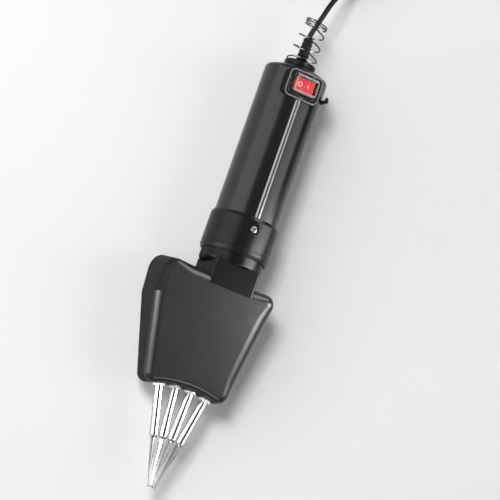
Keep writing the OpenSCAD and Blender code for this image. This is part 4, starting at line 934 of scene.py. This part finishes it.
boot_foot = BOX_TOP + BEZEL_T
bezel_rings = inset_rings(BEZEL_W, BEZEL_LEN, BEZEL_R,
                          [(0, BOX_TOP)] + edge_steps(BEZEL_EDGE, 0, boot_foot))
bezel_rings += inset_rings(ROOM_W, ROOM_LEN, ROOM_R,
                           [(-ROOM_EDGE, boot_foot), (0, boot_foot - ROOM_EDGE),
                            (0, BOX_TOP - ROOM_DEPTH)])
bezel = piece_of("switch_frame", [skin(bezel_rings)], BARREL_PLASTIC, ["switch_bezel"])
even_shading(bezel)

boot_top = boot_foot + BOOT_H
boot_rim_h = boot_foot + BOOT_RIM_T
boot_outer = ([(-BOOT_RIM, boot_foot), (-BOOT_RIM, boot_rim_h - RIM_EDGE),
               (-BOOT_RIM + RIM_BEVEL[0], boot_rim_h - RIM_BEVEL[1]),
               (-BOOT_RIM + RIM_EDGE, boot_rim_h), (0, boot_rim_h + RIM_FALL)]
              + edge_steps(BOOT_R - BOOT_TRIM, 0, boot_top, BOOT_STEPS))
boot_inner = [(BOOT_WALL, boot_foot)] + edge_steps(BOOT_R - BOOT_WALL - BOOT_TRIM, BOOT_WALL,
                                                   boot_top - BOOT_WALL, BOOT_STEPS)
boot_rings = inset_rings(BOOT_W, BOOT_LEN, BOOT_R, list(reversed(boot_inner)) + boot_outer)
boot = piece_of("switch_cover", [skin(boot_rings)], CLEAR_PVC, ["switch_boot"],
                crease=RUBBER_CREASE)
highlight_foot = at(0, 0, boot_rim_h + HIGHLIGHT_FROM).z


def on_painted_highlight_edge(face):
    """Whether a face of the boot is on a rounded edge that gets a painted highlight."""
    rounded = HIGHLIGHT_LOW < face.normal.z < HIGHLIGHT_HIGH and face.normal.x > HIGHLIGHT_LEFT
    return rounded and face.center.z > highlight_foot


# Painted highlight on the boot's rounded edges
two_tone(boot, EDGE_HIGHLIGHT_PVC, on_painted_highlight_edge)
even_shading(boot)

ROCKER_W, ROCKER_LEN = 15.4, 10.6
ROCKER_TOP, ROCKER_SKIRT, ROCKER_DISH, ROCKER_HOLLOW_R = 6.4, 1.2, 0.7, 44
ROCKER_EDGE, ROCKER_FOOT_R, ROCKER_CREST_R = 0.55, 0.3, 0.45
ROCKER_STEPS, ROCKER_CREASE = 16, 50
ROCKER_FLANK = 2
ROCKER_TILT = radians(11)
PIVOT_H = BOX_TOP - 2.2


def hollow(x):
    """Height of the rocker's hollow top above its pivot."""
    return ROCKER_TOP - ROCKER_DISH + ROCKER_HOLLOW_R - sqrt(ROCKER_HOLLOW_R ** 2 - x * x)


def on_rocker(x, along_s, h):
    """A point of the rocker, tipped with its left side down about its pivot."""
    return at(x * cos(ROCKER_TILT) - h * sin(ROCKER_TILT), BOX_MID + along_s,
              PIVOT_H + x * sin(ROCKER_TILT) + h * cos(ROCKER_TILT))


top_x = [ROCKER_W / 2 * (1 - 2 * k / ROCKER_STEPS) for k in range(ROCKER_STEPS + 1)]
rocker_corners = [(x, -ROCKER_SKIRT, ROCKER_FOOT_R) for x in (-ROCKER_W / 2, ROCKER_W / 2)]
rocker_corners += [(x, hollow(x), ROCKER_CREST_R if abs(x) == ROCKER_W / 2 else 0) for x in top_x]
rocker_line = fillet(rocker_corners, True, 5)


def rocker_ring(along_s, shrink):
    """The rocker's outline at a distance from its middle, drawn in by shrink."""
    narrower = 1 - shrink / (ROCKER_W / 2)
    return [on_rocker(p.x * narrower, along_s, p.y - shrink if p.y > ROCKER_FLANK else p.y)
            for p in rocker_line]


rocker_edge = [(ROCKER_LEN / 2 - ROCKER_EDGE * (1 - sin(a)), ROCKER_EDGE * (1 - cos(a)))
               for a in quarter[::2]]
rocker_rings = ([rocker_ring(-s, shrink) for s, shrink in reversed(rocker_edge)]
                + [rocker_ring(s, shrink) for s, shrink in rocker_edge])
rocker = piece_of("rocker_key", [skin(rocker_rings)], RED_PLASTIC, ["rocker"],
                  "rocker", ROCKER_CREASE)
even_shading(rocker)

MARK_O, MARK_O_R, MARK_STROKE = -3.4, 1.8, 0.45
MARK_I, MARK_I_LEN, MARK_I_R = 3, 2.6, 0.2
MARK_LIFT, MARK_SUNK = 0.04, 0.1


def mark_ring(points, lift):
    """A mark's outline on the hollow top."""
    return [on_rocker(x, y, hollow(x) + lift) for x, y in points]


mark_o_inner = MARK_O_R - MARK_STROKE
ring_mark = [mark_ring([(MARK_O + a, b) for a, b in circle(radius, 40)], lift)
             for radius, lift in ((MARK_O_R, -MARK_SUNK), (MARK_O_R, MARK_LIFT),
                                  (mark_o_inner, MARK_LIFT), (mark_o_inner, -MARK_SUNK))]
bar = [(MARK_I + a, b) for a, b in rounded_rectangle(MARK_STROKE, MARK_I_LEN, MARK_I_R, 4)]
bar_mark = [mark_ring(bar, lift) for lift in (-MARK_SUNK, MARK_LIFT)]
piece_of("rocker_marks", [skin(ring_mark + ring_mark[:1], False), skin(bar_mark)], MARK_PAINT, [],
         "rocker")

# Rods: fluted tapers on plain shanks, in hexagonal flanged bushes

TIP_R, TIP_D, TIP_LEN = 12, 1.2, 0.6
TIP_ROUND = [(0, 0.12), (0.1, 0.34), (0.3, 0.5)]
HEX_END, HEX_T, HEX_AF = FAN_R - 0.2, 2, 9.6
SHANK_D, SHANK_WIDE_D, SHANK_LEN = 6, 6.6, 38
SHANK_CLEAR, SHANK_EDGE, SHANK_HOLD, SHANK_FOOT = 0.4, 0.3, 0.8, 0.1
TAPER_D, TAPER_STOP, TAPER_STEPS = 4.9, 0.3, 44
FLUTES, FLUTE_DEPTH, FLUTE_TWIST = 8, 0.45, radians(40)
FLUTE_START, FLUTE_STOP = 1.2, 0.8
BUSH_D, BUSH_LEN = 8.8, 6
BUSH_BORE, BUSH_CREASE = 6.1, 18
SHOULDER_D, SHOULDER_END, SHOULDER_T = 8.6, 97.6, 1
ROD_ENDS = [111.9, 156.3, 111.9, 111.9]
ROD_BEVEL = 0.4
TURNED_SIDES = 96
hex_start = HEX_END - HEX_T
shank_start = hex_start - SHANK_LEN
shank_end = hex_start - SHANK_CLEAR


def on_rod(rod):
    """A place function for pieces turned about a rod's axis, by distance from the meeting point."""
    direction = Vector(RODS[rod]["axis"])
    side = Vector((direction.y, -direction.x, 0))
    return lambda r, a, b: APEX + (direction * r + side * a + Vector((0, 0, b))) * MM


def flute(angle, r, radius):
    """The taper's radius with its twisted flutes."""
    if r > shank_start - FLUTE_STOP or r < TIP_R + FLUTE_START:
        return radius
    twist = FLUTE_TWIST * (shank_start - r) / (shank_start - TIP_R)
    wave = 0.5 - 0.5 * cos(FLUTES * (angle + twist))
    return radius - FLUTE_DEPTH * radius / (TAPER_D / 2) * wave


def on_taper(face):
    """Whether a face of a rod is in front of its shank."""
    return (face.center - APEX).length / MM < shank_start - SHANK_FOOT


def hexagon(angle, r, radius):
    """The bush's radius: a chamfered hexagon at the front, round behind."""
    if r > HEX_END:
        return radius
    sector = (angle + pi / 6) % (pi / 3) - pi / 6
    return min(radius, HEX_AF / 2 / cos(sector))


taper_start = TIP_R + TIP_LEN
taper_len = shank_start - TAPER_STOP - taper_start
tip = [(TIP_R + distance, radius) for distance, radius in TIP_ROUND]
taper = [(taper_start + taper_len * k / TAPER_STEPS,
          TIP_D / 2 + (TAPER_D - TIP_D) / 2 * k / TAPER_STEPS) for k in range(TAPER_STEPS + 1)]
wide_r = SHANK_WIDE_D / 2
shank = [
    (shank_start - SHANK_FOOT, TAPER_D / 2 + 0.1), (shank_start + SHANK_EDGE, wide_r - 0.12),
    (shank_start + 2 * SHANK_EDGE, wide_r), (shank_start + 4 * SHANK_EDGE, wide_r),
    (shank_end - SHANK_HOLD, wide_r), (shank_end - SHANK_EDGE, wide_r), (shank_end, wide_r - 0.2),
    (shank_end, SHANK_D / 2)]
shoulder_start = SHOULDER_END - SHOULDER_T
shoulder = [(shoulder_start, SHANK_D / 2), (shoulder_start, SHOULDER_D / 2),
            (SHOULDER_END, SHOULDER_D / 2), (SHOULDER_END, SHANK_D / 2)]
hex_flat, hex_corner = HEX_AF / 2, HEX_AF / sqrt(3)
bush_profile = [
    (hex_start + 0.4, BUSH_BORE / 2), (hex_start, BUSH_BORE / 2 + 0.25),
    (hex_start, hex_flat - 0.25), (hex_start + 0.28, hex_flat + 0.12),
    (hex_start + 0.7, hex_corner), (HEX_END - 0.5, hex_corner), (HEX_END - 0.1, hex_flat + 0.12),
    (HEX_END, hex_flat - 0.2), (HEX_END, BUSH_D / 2), (HEX_END + BUSH_LEN, BUSH_D / 2)]
for rod, rod_end in enumerate(ROD_ENDS):
    number = rod + 1
    back = [(rod_end - ROD_BEVEL, SHANK_D / 2), (rod_end, SHANK_D / 2 - ROD_BEVEL)]
    rod_form = turned(tip + taper + shank + shoulder + back, on_rod(rod), TURNED_SIDES, flute)
    rod_piece = piece_of(f"rod_{number}_fluted", [rod_form], CHROME, [f"spindle_{number}"],
                         f"rod_{number}")
    two_tone(rod_piece, FLUTED_CHROME, on_taper)
    bush_form = turned(bush_profile, on_rod(rod), TURNED_SIDES, hexagon)
    piece_of(f"hex_bush_{number}", [bush_form], BUSH_ZINC, [f"spindle_bush_{number}"],
             crease=BUSH_CREASE)

# Plug on the cord's end

PLUG_D, PLUG_LEN, PLUG_BORE_R = 10, 24, 2
GRIP_FROM, GRIP_TO, GRIP_FLUTES, GRIP_DEPTH = 0.54, 0.9, 12, 0.25
TAIL_FROM, TAIL_TO, TAIL_PITCH, TAIL_DEPTH = 1, 0.4, 2.2, 0.35
PLUG_STEP = 0.4
plug_start = Vector(lead[-1])
plug_corners = [
    (-0.2, CORD_D / 2, 0), (0, 2.8, 0.3), (PLUG_LEN * 0.42, 3.6, 0.6), (PLUG_LEN * 0.46, 4.2, 0.5),
    (PLUG_LEN * 0.5, PLUG_D / 2, 0.6), (PLUG_LEN, PLUG_D / 2, 0.9), (PLUG_LEN, PLUG_BORE_R, 0)]


def on_plug(distance, a, b):
    """A point of the plug, which points to the left on the floor."""
    return over_floor(plug_start.x - distance, plug_start.y + a, plug_start.z + b)


def plug_ribs(angle, distance, radius):
    """Shallow grip flutes on the plug's thick part and rings on its tail."""
    if GRIP_FROM * PLUG_LEN < distance < GRIP_TO * PLUG_LEN:
        return radius - GRIP_DEPTH * max(0, cos(GRIP_FLUTES * angle))
    if TAIL_FROM < distance < TAIL_TO * PLUG_LEN:
        return radius - TAIL_DEPTH * max(0, sin(2 * pi * distance / TAIL_PITCH))
    return radius


plug_line = []
corners = fillet(plug_corners, steps=5)
for first, last in zip(corners, corners[1:]):
    parts = max(1, int((last - first).length / PLUG_STEP))
    plug_line += [first.lerp(last, k / parts) for k in range(parts)]
plug_line.append(corners[-1])
piece_of("plug_grip", [turned(plug_line, on_plug, TURNED_SIDES, plug_ribs)], RUBBER, ["plug_body"],
         crease=RUBBER_CREASE)

# Finish of the CAD nodes that stay

BY_SLOT = {"head_plastic": HEAD_PLASTIC, "barrel_plastic": BARREL_PLASTIC, "chrome": CHROME,
           "steel": STEEL, "bronze": BRONZE, "copper": COPPER, "aluminium": ALUMINIUM,
           "ferrite": FERRITE, "clear_boot": CLEAR_PVC, "red_plastic": RED_PLASTIC,
           "black_rubber": RUBBER}
for subpart in frame["record"]["subparts"]:
    mesh = frame["nodes"][subpart["node"]].data
    mesh.materials.clear()
    mesh.materials.append(BY_SLOT[subpart["material_slot"]])

# Stage: white floor, wide softboxes left and right of the tool, a smaller lamp for the shadow, and
# strips that show only as highlights

FLOOR_SIZE = 12
LAMPS_AIM_S = 90
WORLD_LIGHT = 0.1
floor_mesh = bpy.data.meshes.new("floor")
edge = FLOOR_SIZE / 2
floor_mesh.from_pydata([(-edge, -edge, 0), (edge, -edge, 0), (edge, edge, 0), (-edge, edge, 0)], [],
                       [(0, 1, 2, 3)])
floor = new_object("floor", floor_mesh)
floor_mesh.materials.append(surface("floor", (0.9, 0.9, 0.9), 0.01, (0.7, 0.8), 4, 60, 1e-5,
                                    shine=0.1))


def area_lamp(name, place, direction, wide, deep, power):
    """A rectangular lamp whose back points in a direction, with its sizes in metres."""
    level = Vector((direction.y, -direction.x, 0)).normalized()
    lamp_data = bpy.data.lights.new(name, "AREA")
    lamp_data.shape = "RECTANGLE"
    lamp_data.size = deep
    lamp_data.size_y = wide
    lamp_data.energy = power
    lamp = new_object(name, lamp_data)
    lamp.matrix_world = looking(place, level, direction.cross(level), direction)
    return lamp


def soft_light(name, lean, turn, distance, wide, deep, power):
    """An area lamp aimed at the tool.

    lean is its angle from the vertical, to the left; turn swings it towards the tail; wide is its
    size from low to high and deep its size along the tool, in metres.
    """
    lean, turn = radians(lean), radians(turn)
    direction = Vector((-sin(lean) * cos(turn), abs(sin(lean)) * sin(turn), cos(lean)))
    place = at(0, LAMPS_AIM_S, 0) + direction * distance
    return area_lamp(name, place, direction, wide, deep, power)


soft_light("left_box", 62, 0, 2.4, 2.48, 3.2, 49)
soft_light("right_box", -50, 13, 3, 1.83, 1.1, 15)
shadow_lamp = soft_light("shadow_lamp", 33, 20, 3.2, 0.8, 0.8, 60)
shadow_lamp.visible_glossy = False


def strip(name, place, target, wide, deep, power):
    """A small lamp that only shows as a highlight on rounded edges."""
    lamp = area_lamp(name, place, (place - target).normalized(), wide, deep, power)
    lamp.visible_diffuse = False
    lamp.visible_camera = False


strip("left_strip", at(-945, -146, 362), at(-45, 33, 14), 0.9, 0.09, 16)
strip("right_strip", at(270, 90, 250), at(38, 45, 14), 0.26, 0.1, 3.4)
strip("tail_strip", at(200, 520, 380), at(0, 84, 22), 0.4, 0.2, 2.6)
strip("tip_strip", at(160, -360, 305), at(0, 0, 12), 0.15, 0.14, 0.7)
strip("rod_strip", at(275, -5, 222), at(0, -40, 0), 0.29, 0.2, 0.6)
strip("collar_strip", at(240, 165, 180), at(0, 122, 0), 0.31, 0.04, 0.35)

world = bpy.data.worlds.new("studio")
bpy.context.scene.world = world
world.use_nodes = True
background = world.node_tree.nodes["Background"]
background.inputs["Color"].default_value = (1, 1, 1, 1)
background.inputs["Strength"].default_value = WORLD_LIGHT
bpy.context.scene.view_settings.view_transform = "Standard"
